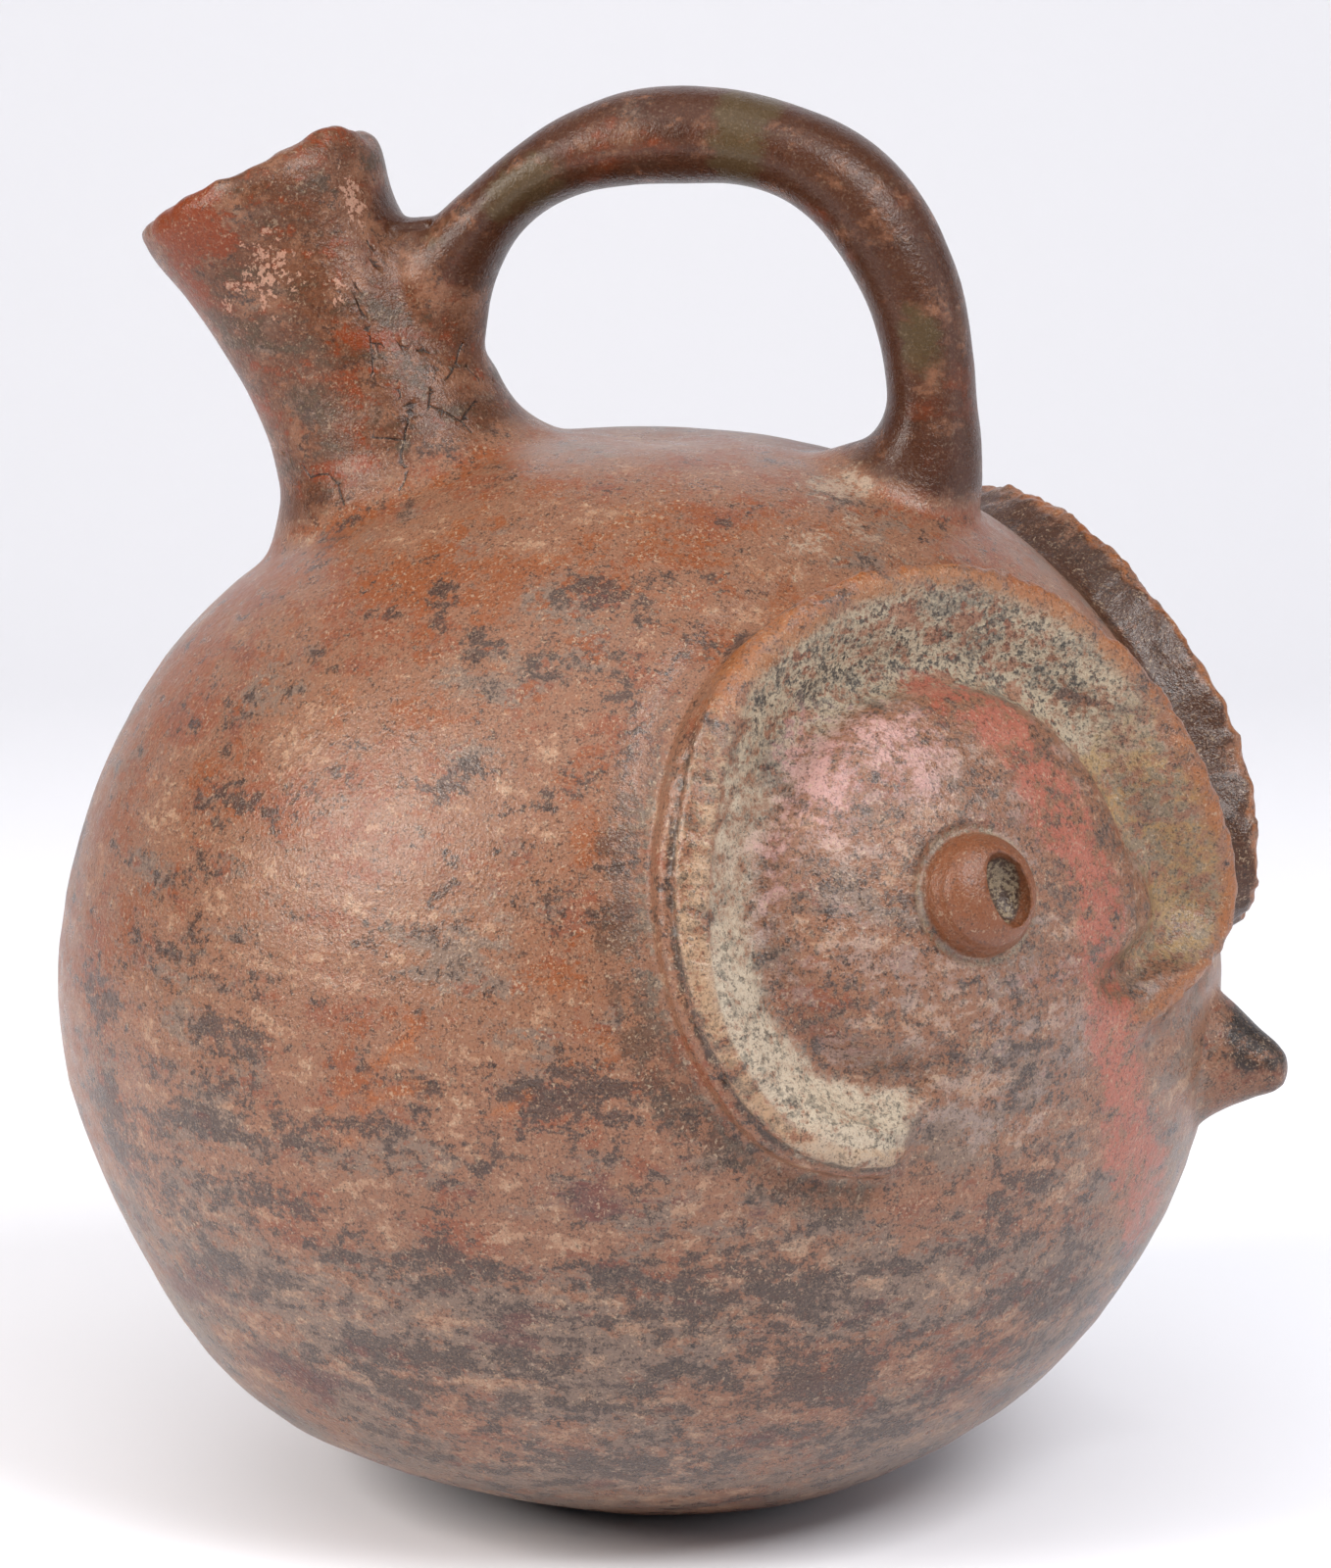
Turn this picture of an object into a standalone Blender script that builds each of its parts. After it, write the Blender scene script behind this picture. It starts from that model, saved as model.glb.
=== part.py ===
"""Owl effigy jar: a hollow globe of fired clay with an owl's face on its front,
a leaning spout behind and an arched handle from the spout to the brow.

Metres, Z up, the face toward -Y, the two halves alike across X = 0.
The underside is a small flat at Z = 0, centred on the origin.
"""
import math

import bmesh
import bpy
import numpy as np

MM = 0.001

# Body: a slightly uneven globe, given as its reach from one centre
BODY_CENTRE = np.array([0.0, 2.4, 82.3])
BODY_ANGLES = [-90, -65, -45, -25, -5, 15, 35, 55, 75, 90]
BODY_FRONT = [85.0, 86.8, 89.1, 89.8, 89.7, 90.2, 90.0, 88.3, 85.2, 82.8]
BODY_BACK = [85.0, 85.2, 91.4, 90.9, 92.4, 91.0, 89.8, 86.5, 85.7, 82.8]
BODY_WALL = 5.8
FLOOR_THICKNESS = 6.5
GLOBE_SUBDIVISIONS = 7

# Eye discs and brow rims: one on each side, angles in degrees at the body centre
DISC_TURN = 42.0
DISC_RISE = 17.0
DISC_ARM = 90.0
# Rim stations: angle round the disc from its inner side upward, reach from the disc's
# axis in degrees, height over the plain body
BROW_STATIONS = [
    (-48, 23.0, 0.0),
    (-40, 23.8, 0.9),
    (-32, 25.8, 2.2),
    (-24, 28.7, 3.2),
    (-17, 32.6, 4.4),
    (-9, 34.6, 6.0),
    (0, 33.4, 7.6),
    (10, 31.0, 8.6),
    (30, 30.3, 8.6),
    (60, 30.6, 8.6),
    (90, 30.1, 9.0),
    (115, 30.2, 8.6),
    (135, 31.0, 6.6),
    (155, 31.6, 4.2),
    (180, 32.1, 2.9),
    (200, 32.3, 2.8),
    (220, 31.7, 2.9),
    (232, 29.6, 3.2),
    (239, 28.2, 2.6),
    (246, 27.0, 0.0),
]
# Across the rim, standing brow first and low outer side second
RIM_MIDDLE = (0.9, 3.4)
RIM_HALF = (1.2, 2.9)
RIM_BACK_FALL = (3.2, 2.0)
RIM_COVE = (13.0, 7.0)
LOW_SIDE_FROM = 120
LOW_SIDE_FULL = 165
OUTER_GROOVE_DEPTH = 1.1
OUTER_GROOVE_AT = 3.0
OUTER_GROOVE_HALF = 1.4
DISH_DEPTH = 1.1
DISH_AT = 11.0
DISH_HALF = 4.5
MOUND_REACH = 23.0
MOUND_RISE = 2.5

# Eyes: domed pellets, each with an off-centre pupil hollow
EYE_TURN = 44.7
EYE_RISE = 16.6
EYE_RADIUS = 8.9
EYE_HEIGHT = 6.2
EYE_FULLNESS = 2.7
PUPIL_HALF_WIDTH = 3.9
PUPIL_HALF_HEIGHT = 5.7
PUPIL_DEPTH = 4.6
PUPIL_OFFSET = 1.8
PUPIL_CENTRE_HEIGHT = 5.6
PUPIL_TILT = math.radians(14)

# Beak: a blunt cone, stations from root to tip as Y, centre Z, half height, half width
BEAK_STATIONS = [
    (-78.0, 73.0, 15.0, 13.5),
    (-84.5, 73.0, 11.9, 10.6),
    (-87.0, 73.0, 10.1, 9.0),
    (-90.0, 72.6, 8.0, 7.4),
    (-94.0, 71.6, 5.2, 5.2),
    (-96.6, 71.0, 3.8, 3.9),
    (-98.0, 70.8, 2.4, 2.5),
    (-98.5, 70.8, 0.8, 0.8),
]

# Spout: a straight leaning tube, stations as distance below the mouth,
# outer radius and how far the ring sits back of the axis
MOUTH_CENTRE = np.array([0.0, 65.2, 206.9])
SPOUT_LEAN = math.radians(27.0)
SPOUT_STATIONS = [
    (0, 20.9, 0.0),
    (5, 20.6, 0.2),
    (15, 18.4, 0.2),
    (25, 17.6, -0.5),
    (34, 17.5, -0.8),
    (40, 18.1, -0.9),
    (44, 19.0, -0.9),
    (48, 19.7, -0.2),
    (52, 21.6, 1.0),
    (56, 24.7, 1.9),
    (60, 29.0, 2.6),
    (63, 33.4, 2.8),
]
SPOUT_WALL = 4.2
RIM_TILT = 0.045
RIM_CHIP_DEPTH = 3.6
RIM_CHIP_HALF = 0.42
RIM_WAVE = 0.7
RIM_DEPTH = 12.0
BORE_LEAD_OUT = 12.0

# Handle: stations from the spout over to the brow as Y, Z, half thickness, half width
HANDLE_STATIONS = [
    (45.0, 168.0, 13.5, 11.5),
    (41.8, 177.5, 12.6, 11.0),
    (37.5, 186.5, 10.9, 10.3),
    (32.4, 193.6, 7.2, 9.7),
    (27.1, 200.0, 5.5, 9.3),
    (20.8, 205.4, 5.4, 9.1),
    (14.8, 208.8, 6.0, 9.1),
    (9.1, 210.9, 6.7, 9.3),
    (3.6, 212.1, 7.2, 9.5),
    (-3.6, 212.6, 7.4, 9.7),
    (-11.8, 212.2, 7.1, 9.7),
    (-19.5, 210.3, 7.0, 9.5),
    (-24.5, 208.1, 7.2, 9.4),
    (-29.2, 204.8, 7.5, 9.4),
    (-33.9, 199.2, 7.7, 9.4),
    (-37.2, 193.5, 7.5, 9.3),
    (-39.3, 188.6, 7.3, 9.2),
    (-41.5, 178.5, 6.9, 9.2),
    (-42.0, 171.0, 7.1, 9.5),
    (-41.4, 166.0, 8.5, 10.4),
    (-40.2, 162.2, 10.3, 11.8),
    (-38.2, 158.6, 13.0, 14.0),
    (-36.0, 155.0, 17.0, 17.5),
    (-34.3, 151.8, 21.0, 21.0),
]
HANDLE_KEEL_SHIFT = 0.14
HANDLE_OUTER_POWER = 2.2
HANDLE_INNER_POWER = 1.75

# Facet sizes
SKIN_VOXEL = 1.1
SKIN_SMOOTHING = 3
SKIN_KEEP = 0.0235
RING_SIDES = 40
BORE_SIDES = 26
BORE_RINGS = 14
PUPIL_SIDES = 14
CAVITY_SIDES = 40
CAVITY_RINGS = 22
HANDLE_RINGS = 64
EYE_RINGS = 20
PUPIL_RINGS = 8


def smooth_through(places, values, at):
    """Values on a smooth curve through the stations, held level past both ends."""
    places = np.asarray(places, float)
    values = np.asarray(values, float)
    gaps = np.diff(places)
    rises = np.diff(values) / gaps
    inner = (rises[:-1] * gaps[1:] + rises[1:] * gaps[:-1]) / (gaps[:-1] + gaps[1:])
    slopes = np.concatenate([rises[:1], inner, rises[-1:]])
    at = np.clip(at, places[0], places[-1])
    k = np.clip(np.searchsorted(places, at) - 1, 0, len(gaps) - 1)
    t = (at - places[k]) / gaps[k]
    start = (2 * t**3 - 3 * t**2 + 1) * values[k] + (t**3 - 2 * t**2 + t) * gaps[k] * slopes[k]
    end = (3 * t**2 - 2 * t**3) * values[k + 1] + (t**3 - t**2) * gaps[k] * slopes[k + 1]
    return start + end


def smooth_step(t):
    """Rises from 0 to 1 with level ends."""
    t = np.clip(t, 0, 1)
    return t * t * (3 - 2 * t)


def bump(distance, half):
    """A bell of height 1 about zero distance."""
    return np.exp(-((distance / half) ** 2))


def face_direction(turn, rise):
    """Unit direction from the body centre, turned from the face toward -X and raised."""
    turn = math.radians(turn)
    rise = math.radians(rise)
    return np.array([-math.sin(turn) * math.cos(rise), -math.cos(turn) * math.cos(rise), math.sin(rise)])


def face_axes(turn, rise):
    """A face direction with its sideways axis, toward the centre line, and its upward axis."""
    outward = face_direction(turn, rise)
    sideways = np.array([math.cos(math.radians(turn)), -math.sin(math.radians(turn)), 0.0])
    upward = np.cross(sideways, outward)
    return outward, sideways, upward * np.sign(upward[2])


def body_radius(directions):
    """Reach of the plain body from its centre in each direction."""
    rise = np.degrees(np.arcsin(np.clip(directions[:, 2], -1, 1)))
    level = np.maximum(np.hypot(directions[:, 0], directions[:, 1]), 1e-9)
    frontness = (1 - directions[:, 1] / level) / 2
    front = smooth_through(BODY_ANGLES, BODY_FRONT, rise)
    back = smooth_through(BODY_ANGLES, BODY_BACK, rise)
    return back + (front - back) * frontness


def face_relief(directions):
    """Height of the eye disc, its brow rim and grooves over the plain body."""
    outward, sideways, upward = face_axes(DISC_TURN, DISC_RISE)
    folded = directions * [1, 1, 1]
    folded[:, 0] = -np.abs(folded[:, 0])
    across = folded @ sideways
    up = folded @ upward
    reach = np.degrees(np.arccos(np.clip(folded @ outward, -1, 1)))
    around = np.degrees(np.arctan2(up, across))
    around = np.where(around < -75, around + 360, around)
    places, reaches, heights = np.array(BROW_STATIONS, float).T
    crest = smooth_through(places, reaches, around)
    height = np.maximum(smooth_through(places, heights, around), 0)
    presence = smooth_step(height / 2.5)
    low = smooth_step((around - LOW_SIDE_FROM) / (LOW_SIDE_FULL - LOW_SIDE_FROM))
    middle, half, fall, cove = (a + (b - a) * low for a, b in (RIM_MIDDLE, RIM_HALF, RIM_BACK_FALL, RIM_COVE))
    from_middle = np.radians(reach - crest) * DISC_ARM + middle
    behind = 1 - smooth_step((from_middle - half) / fall)
    inside = np.clip((-half - from_middle) / cove, 0, 1)
    relief = height * behind * (1 - inside) ** 2
    relief -= DISH_DEPTH * presence * bump(from_middle + DISH_AT, DISH_HALF)
    from_groove = from_middle - half - OUTER_GROOVE_AT
    relief -= OUTER_GROOVE_DEPTH * presence * low * bump(from_groove, OUTER_GROOVE_HALF)
    relief += MOUND_RISE * np.clip(1 - (reach / MOUND_REACH) ** 2, 0, 1) ** 1.5
    return relief


def new_object(name, mesh):
    """Links a new object that holds the mesh."""
    thing = bpy.data.objects.new(name, mesh)
    bpy.context.scene.collection.objects.link(thing)
    return thing


def globe(name, radius_of, detail):
    """A closed ball whose reach from the body centre follows a function."""
    mesh = bpy.data.meshes.new(name)
    ball = bmesh.new()
    bmesh.ops.create_icosphere(ball, subdivisions=detail, radius=1)
    ball.to_mesh(mesh)
    ball.free()
    points = np.empty(len(mesh.vertices) * 3)
    mesh.vertices.foreach_get("co", points)
    points = points.reshape(-1, 3)
    points /= np.linalg.norm(points, axis=1)[:, None]
    points = BODY_CENTRE + points * radius_of(points)[:, None]
    mesh.vertices.foreach_set("co", (points * MM).ravel())
    return new_object(name, mesh)


def lofted(name, rings):
    """A closed solid through rings of points, with a flat cap on each end."""
    mesh = bpy.data.meshes.new(name)
    skin = bmesh.new()
    rows = [[skin.verts.new(point * MM) for point in ring] for ring in rings]
    for low, high in zip(rows, rows[1:]):
        for i in range(len(low)):
            j = (i + 1) % len(low)
            skin.faces.new((low[i], low[j], high[j], high[i]))
    skin.faces.new(rows[0])
    skin.faces.new(rows[-1])
    bmesh.ops.recalc_face_normals(skin, faces=skin.faces)
    skin.to_mesh(mesh)
    skin.free()
    return new_object(name, mesh)


def rounding(sides):
    """Angles once round a ring."""
    return np.arange(sides) * 2 * math.pi / sides


def outer_radius(directions):
    return body_radius(directions) + face_relief(directions)


def cavity_radius(directions):
    """The hollow follows the plain body, with a level floor above the underside."""
    to_floor = (BODY_CENTRE[2] - FLOOR_THICKNESS) / np.maximum(-directions[:, 2], 1e-6)
    return np.minimum(body_radius(directions) - BODY_WALL, to_floor)


def cavity():
    """The hollow inside the body as rings from floor to roof."""
    rises = np.linspace(-math.pi / 2, math.pi / 2, CAVITY_RINGS + 1)[1:-1]
    rings = []
    for rise in rises:
        turns = rounding(CAVITY_SIDES)
        flat = math.cos(rise)
        level = np.full(CAVITY_SIDES, math.sin(rise))
        directions = np.stack([np.cos(turns) * flat, np.sin(turns) * flat, level], axis=1)
        rings.append(BODY_CENTRE + directions * cavity_radius(directions)[:, None])
    return lofted("cavity_cutter", rings)


SPOUT_AXIS = np.array([0.0, math.sin(SPOUT_LEAN), math.cos(SPOUT_LEAN)])
SPOUT_BACK = np.array([0.0, math.cos(SPOUT_LEAN), -math.sin(SPOUT_LEAN)])
SIDEWAYS = np.array([1.0, 0.0, 0.0])


def spout_ring(below, narrower, sides, lift=0.0):
    """One ring of the spout at a distance below its mouth, with an optional lift of each point."""
    places, radii, backs = np.array(SPOUT_STATIONS, float).T
    radius = smooth_through(places, radii, below) - narrower
    back = smooth_through(places, backs, below)
    turns = rounding(sides)
    centre = MOUTH_CENTRE - SPOUT_AXIS * below + SPOUT_BACK * back
    ring = centre + np.outer(np.cos(turns) * radius, SPOUT_BACK) + np.outer(np.sin(turns) * radius, SIDEWAYS)
    return ring + np.outer(np.ones(sides) * lift, SPOUT_AXIS)


def rim_lift(sides):
    """The worn lip: a little tilt, a chipped front corner and a slow wave."""
    turns = rounding(sides)
    from_front = np.abs(math.pi - turns)
    chip = -RIM_CHIP_DEPTH * np.exp(-((from_front / RIM_CHIP_HALF) ** 2))
    wave = RIM_WAVE * (np.sin(3 * turns + 0.6) + 0.6 * np.sin(5 * turns))
    return chip + wave - RIM_TILT * SPOUT_STATIONS[0][1] * np.cos(turns)


def spout():
    """The leaning tube with its flared foot inside the body."""
    levels = np.concatenate([[0.0, 1.5], np.linspace(4, SPOUT_STATIONS[-1][0], 30)])
    lifts = [rim_lift(RING_SIDES) * (1 - smooth_step(level / RIM_DEPTH)) for level in levels]
    return lofted("spout", [spout_ring(level, 0, RING_SIDES, lift) for level, lift in zip(levels, lifts)])


def bore():
    """The spout's passage, one wall inside its skin, flaring into the hollow."""
    levels = np.linspace(-BORE_LEAD_OUT, SPOUT_STATIONS[-1][0], BORE_RINGS)
    return lofted("bore_cutter", [spout_ring(level, SPOUT_WALL, BORE_SIDES) for level in levels])


def handle_section(half_thickness, half_width, sides):
    """Across and outward distances round the handle: full outside, keeled inside."""
    turns = rounding(sides)
    across = np.cos(turns)
    out = np.sin(turns)
    power = np.where(out > 0, HANDLE_OUTER_POWER, HANDLE_INNER_POWER)
    size = (np.abs(across) ** power + np.abs(out) ** power) ** (-1 / power)
    shift = HANDLE_KEEL_SHIFT * half_thickness
    depth = np.where(out > 0, half_thickness + shift, half_thickness - shift)
    return across * size * half_width, out * size * depth - shift


def handle():
    """The arched handle as sections set square to its centre line."""
    stations = np.array(HANDLE_STATIONS, float)
    spans = np.linalg.norm(np.diff(stations[:, :2], axis=0), axis=1)
    along = np.concatenate([[0], np.cumsum(spans)])
    levels = np.linspace(0, along[-1], HANDLE_RINGS)
    line = np.stack([smooth_through(along, column, levels) for column in stations.T], axis=1)
    travel = np.gradient(line[:, :2], axis=0)
    travel /= np.linalg.norm(travel, axis=1)[:, None]
    rings = []
    for (y, z, half_thickness, half_width), (go_y, go_z) in zip(line, travel):
        across, out = handle_section(half_thickness, half_width, RING_SIDES)
        rings.append(np.stack([across, y + out * go_z, z - out * go_y], axis=1))
    return lofted("handle", rings)


def beak():
    """The blunt cone of the beak, rounded at its tip."""
    turns = rounding(RING_SIDES)
    rings = []
    for y, z, half_height, half_width in BEAK_STATIONS:
        level = np.full(RING_SIDES, y)
        rings.append(np.stack([np.cos(turns) * half_width, level, z + np.sin(turns) * half_height], axis=1))
    return lofted("beak", rings)


def eye_frame(side):
    """The eye's place on the body and its axes, on one side of the face."""
    outward, sideways, upward = face_axes(EYE_TURN, EYE_RISE)
    seat = BODY_CENTRE + outward * outer_radius(outward[None, :])[0]
    flip = np.array([-side, 1, 1])
    return seat * flip, outward * flip, sideways * flip, upward * flip


def domed(name, centre, axes, sizes, sides, rings, power=2.0):
    """A rounded button from its centre, its three axes and half sizes; more power is fuller."""
    turns = rounding(sides)
    slices = []
    for rise in np.linspace(-math.pi / 2, math.pi / 2, rings + 1)[1:-1]:
        flat = math.cos(rise) ** (2 / power)
        ring = np.outer(np.cos(turns) * flat * sizes[0], axes[0])
        ring += np.outer(np.sin(turns) * flat * sizes[1], axes[1])
        ring += np.sign(rise) * abs(math.sin(rise)) ** (2 / power) * sizes[2] * axes[2]
        slices.append(centre + ring)
    return lofted(name, slices)


def eye_pellet(side):
    """A domed pellet pressed on to the disc."""
    seat, outward, sideways, upward = eye_frame(side)
    sizes = (EYE_RADIUS, EYE_RADIUS, EYE_HEIGHT)
    return domed(f"eye_{side}", seat, (sideways, upward, outward), sizes, RING_SIDES, EYE_RINGS, EYE_FULLNESS)


def pupil(side):
    """The gouge in the eye, leaning like the pellet's seam."""
    seat, outward, sideways, upward = eye_frame(side)
    turned_side = sideways * math.cos(PUPIL_TILT) + upward * math.sin(PUPIL_TILT)
    turned_up = upward * math.cos(PUPIL_TILT) - sideways * math.sin(PUPIL_TILT)
    centre = seat + outward * PUPIL_CENTRE_HEIGHT + sideways * PUPIL_OFFSET
    sizes = (PUPIL_HALF_WIDTH, PUPIL_HALF_HEIGHT, PUPIL_DEPTH)
    axes = (turned_side, turned_up, outward)
    return domed(f"pupil_cutter_{side}", centre, axes, sizes, PUPIL_SIDES, PUPIL_RINGS)


def floor_block():
    """Everything below the flat underside."""
    mesh = bpy.data.meshes.new("floor_cutter")
    block = bmesh.new()
    bmesh.ops.create_cube(block, size=1)
    for vert in block.verts:
        vert.co = (vert.co.x * 0.3, vert.co.y * 0.3, vert.co.z * 0.04 - 0.02)
    block.to_mesh(mesh)
    block.free()
    return new_object("floor_cutter", mesh)


def cut(target, cutter):
    """Takes a hidden cutter away from the target."""
    cutter.hide_render = True
    cutter.display_type = "WIRE"
    step = target.modifiers.new("cut_" + cutter.name, "BOOLEAN")
    step.operation = "DIFFERENCE"
    step.solver = "EXACT"
    step.object = cutter


def joined(name, pieces):
    """Gathers the meshes of several closed pieces in one object."""
    mesh = bpy.data.meshes.new(name)
    gathered = bmesh.new()
    for piece in pieces:
        gathered.from_mesh(piece.data)
        bpy.data.objects.remove(piece)
    gathered.to_mesh(mesh)
    gathered.free()
    return new_object(name, mesh)


for old in list(bpy.data.objects):
    bpy.data.objects.remove(old)

clay = bpy.data.materials.new("burnished_red_slip_ware")
clay.use_nodes = True
shader = clay.node_tree.nodes["Principled BSDF"]
shader.inputs["Base Color"].default_value = (0.26, 0.105, 0.055, 1.0)
shader.inputs["Roughness"].default_value = 0.55

# One wet-joined piece: body, spout, handle, beak and eyes melt into each other
masses = [globe("body", outer_radius, GLOBE_SUBDIVISIONS), spout(), handle(), beak(), eye_pellet(-1), eye_pellet(1)]
jar = joined("owl_jar", masses)
jar.data.materials.append(clay)

melt = jar.modifiers.new("melt_joins", "REMESH")
melt.mode = "VOXEL"
melt.voxel_size = SKIN_VOXEL * MM
melt.use_smooth_shade = True

ease = jar.modifiers.new("ease_skin", "SMOOTH")
ease.factor = 0.5
ease.iterations = SKIN_SMOOTHING

thin = jar.modifiers.new("thin_facets", "DECIMATE")
thin.ratio = SKIN_KEEP
thin.use_collapse_triangulate = True

for cutter in (floor_block(), cavity(), bore(), pupil(-1), pupil(1)):
    cut(jar, cutter)
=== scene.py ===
"""Owl effigy jar on a pale studio sweep: one hand-built vessel of burnished red ware.

Metres, Z up, the owl's face toward -Y, the jar standing on the origin.
"""
import math

import bmesh
import bpy
import numpy as np
from mathutils import Matrix, Vector


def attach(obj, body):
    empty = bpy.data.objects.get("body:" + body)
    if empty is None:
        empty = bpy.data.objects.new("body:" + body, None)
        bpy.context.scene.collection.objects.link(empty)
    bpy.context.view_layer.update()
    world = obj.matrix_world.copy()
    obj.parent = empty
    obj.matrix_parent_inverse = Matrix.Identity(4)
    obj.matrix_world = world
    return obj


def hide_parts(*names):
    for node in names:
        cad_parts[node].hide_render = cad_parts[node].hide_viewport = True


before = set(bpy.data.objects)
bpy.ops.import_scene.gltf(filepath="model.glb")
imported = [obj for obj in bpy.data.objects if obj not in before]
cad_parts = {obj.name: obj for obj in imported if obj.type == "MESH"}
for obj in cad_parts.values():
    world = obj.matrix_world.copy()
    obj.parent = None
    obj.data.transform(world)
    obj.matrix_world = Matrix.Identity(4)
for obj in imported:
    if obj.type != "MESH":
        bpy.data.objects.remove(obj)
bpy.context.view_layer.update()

# Camera
# Almost square to the jar's right side and a little toward its face, just above
# the eyes, through a long lens that keeps the globe round.
CAMERA_TURN = math.radians(-77.2)
CAMERA_RISE = math.radians(10.4)
CAMERA_DISTANCE = 0.9
CAMERA_TARGET = Vector((0.0, -0.0004, 0.1114))
CAMERA_LENS_MM = 132.19
CAMERA_SENSOR_MM = 36.0

camera_right = Vector((math.cos(CAMERA_TURN), math.sin(CAMERA_TURN), 0.0))
camera_back = Vector(
    (
        math.sin(CAMERA_TURN) * math.cos(CAMERA_RISE),
        -math.cos(CAMERA_TURN) * math.cos(CAMERA_RISE),
        math.sin(CAMERA_RISE),
    )
)
camera_up = camera_back.cross(camera_right)
lens = bpy.data.cameras.new("camera")
lens.lens = CAMERA_LENS_MM
lens.sensor_width = CAMERA_SENSOR_MM
camera = bpy.data.objects.new("camera", lens)
bpy.context.scene.collection.objects.link(camera)
facing = Matrix((camera_right, camera_up, camera_back)).transposed().to_4x4()
camera.matrix_world = Matrix.Translation(CAMERA_TARGET + camera_back * CAMERA_DISTANCE) @ facing
bpy.context.scene.camera = camera

# Body
# A slightly uneven globe of coarse red clay, built up by hand in coils and scraped
# to a wall of about 6 mm. It is given as its reach from one centre, in millimetres.
MM = 0.001
BODY_CENTRE = np.array([0.0, 2.4, 82.3])
BODY_ANGLES = [-90, -65, -45, -25, -5, 15, 35, 55, 75, 90]
BODY_FRONT = [85.0, 86.8, 89.1, 89.8, 89.7, 90.2, 90.0, 88.3, 85.2, 82.8]
BODY_BACK = [85.0, 85.2, 91.4, 90.9, 92.4, 91.0, 89.8, 86.5, 85.7, 82.8]
GLOBE_SUBDIVISIONS = 7


def smooth_through(places, values, at):
    """Values on a smooth curve through the stations, held level past both ends."""
    places = np.asarray(places, float)
    values = np.asarray(values, float)
    gaps = np.diff(places)
    rises = np.diff(values) / gaps
    inner = (rises[:-1] * gaps[1:] + rises[1:] * gaps[:-1]) / (gaps[:-1] + gaps[1:])
    slopes = np.concatenate([rises[:1], inner, rises[-1:]])
    at = np.clip(at, places[0], places[-1])
    k = np.clip(np.searchsorted(places, at) - 1, 0, len(gaps) - 1)
    t = (at - places[k]) / gaps[k]
    start = (2 * t**3 - 3 * t**2 + 1) * values[k] + (t**3 - 2 * t**2 + t) * gaps[k] * slopes[k]
    end = (3 * t**2 - 2 * t**3) * values[k + 1] + (t**3 - t**2) * gaps[k] * slopes[k + 1]
    return start + end


def smooth_step(t):
    """Rises from 0 to 1 with level ends."""
    t = np.clip(t, 0, 1)
    return t * t * (3 - 2 * t)


def bump(distance, half):
    """A bell of height 1 about zero distance."""
    return np.exp(-((distance / half) ** 2))


def plateau(distance, flat, half):
    """A bell whose top stays level for a width to either side."""
    return bump(np.maximum(np.abs(distance) - flat, 0), half)


def fades_in(value, start, width):
    """Rises from 0 to 1 over a width past the start."""
    return smooth_step((value - start) / width)


def between(value, start, rise, end, fall):
    """Rises from 0 to 1 past the start and falls back to 0 past the end."""
    return fades_in(value, start, rise) * (1 - fades_in(value, end, fall))


def body_radius(directions):
    """Reach of the plain body from its centre in each direction."""
    rise = np.degrees(np.arcsin(np.clip(directions[:, 2], -1, 1)))
    level = np.maximum(np.hypot(directions[:, 0], directions[:, 1]), 1e-9)
    frontness = (1 - directions[:, 1] / level) / 2
    front = smooth_through(BODY_ANGLES, BODY_FRONT, rise)
    back = smooth_through(BODY_ANGLES, BODY_BACK, rise)
    return back + (front - back) * frontness


def new_object(name, mesh):
    """Links a new object that holds the mesh."""
    thing = bpy.data.objects.new(name, mesh)
    bpy.context.scene.collection.objects.link(thing)
    return thing


def points_of(mesh, what="co"):
    """The mesh's points, or their normals, as rows."""
    rows = np.empty(len(mesh.vertices) * 3)
    mesh.vertices.foreach_get(what, rows)
    return rows.reshape(-1, 3)


def globe(name, radius_of):
    """A closed ball whose reach from the body centre follows a function."""
    mesh = bpy.data.meshes.new(name)
    ball = bmesh.new()
    bmesh.ops.create_icosphere(ball, subdivisions=GLOBE_SUBDIVISIONS, radius=1)
    ball.to_mesh(mesh)
    ball.free()
    points = points_of(mesh)
    points /= np.linalg.norm(points, axis=1)[:, None]
    points = BODY_CENTRE + points * radius_of(points)[:, None]
    mesh.vertices.foreach_set("co", (points * MM).ravel())
    return new_object(name, mesh)


# Eye discs and brow rims
# One on each side: a strip of clay laid round a shallow dish with a low mound in
# it. It stands up as a brow over the eye and flattens to a double rim on the cheek.
DISC_TURN = 42.0
DISC_RISE = 17.0
DISC_ARM = 90.0
# Angle round the disc from its inner side upward, reach from the disc's axis in
# degrees, height over the plain body
BROW_STATIONS = [
    (-48, 23.0, 0.0),
    (-40, 23.8, 0.9),
    (-32, 25.8, 2.2),
    (-24, 28.7, 3.2),
    (-17, 32.6, 4.4),
    (-9, 34.6, 6.0),
    (0, 33.4, 7.6),
    (10, 31.0, 8.6),
    (30, 30.3, 8.6),
    (60, 30.6, 8.6),
    (90, 30.1, 9.0),
    (115, 30.2, 8.6),
    (135, 31.0, 6.6),
    (155, 31.6, 4.2),
    (180, 32.1, 2.9),
    (200, 32.3, 2.8),
    (220, 31.7, 2.9),
    (232, 29.6, 3.2),
    (239, 28.2, 2.6),
    (246, 27.0, 0.0),
]
RIM_MIDDLE = (0.9, 3.4)
RIM_HALF = (1.2, 2.9)
RIM_BACK_FALL = (3.2, 2.0)
RIM_COVE = (13.0, 7.0)
LOW_SIDE_FROM = 120
LOW_SIDE_FULL = 165
OUTER_GROOVE_DEPTH = 1.1
OUTER_GROOVE_AT = 3.0
OUTER_GROOVE_HALF = 1.4
DISH_DEPTH = 1.1
DISH_AT = 11.0
DISH_HALF = 4.5
MOUND_REACH = 23.0
MOUND_RISE = 2.5
MOUND_POWER = 1.5
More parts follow.
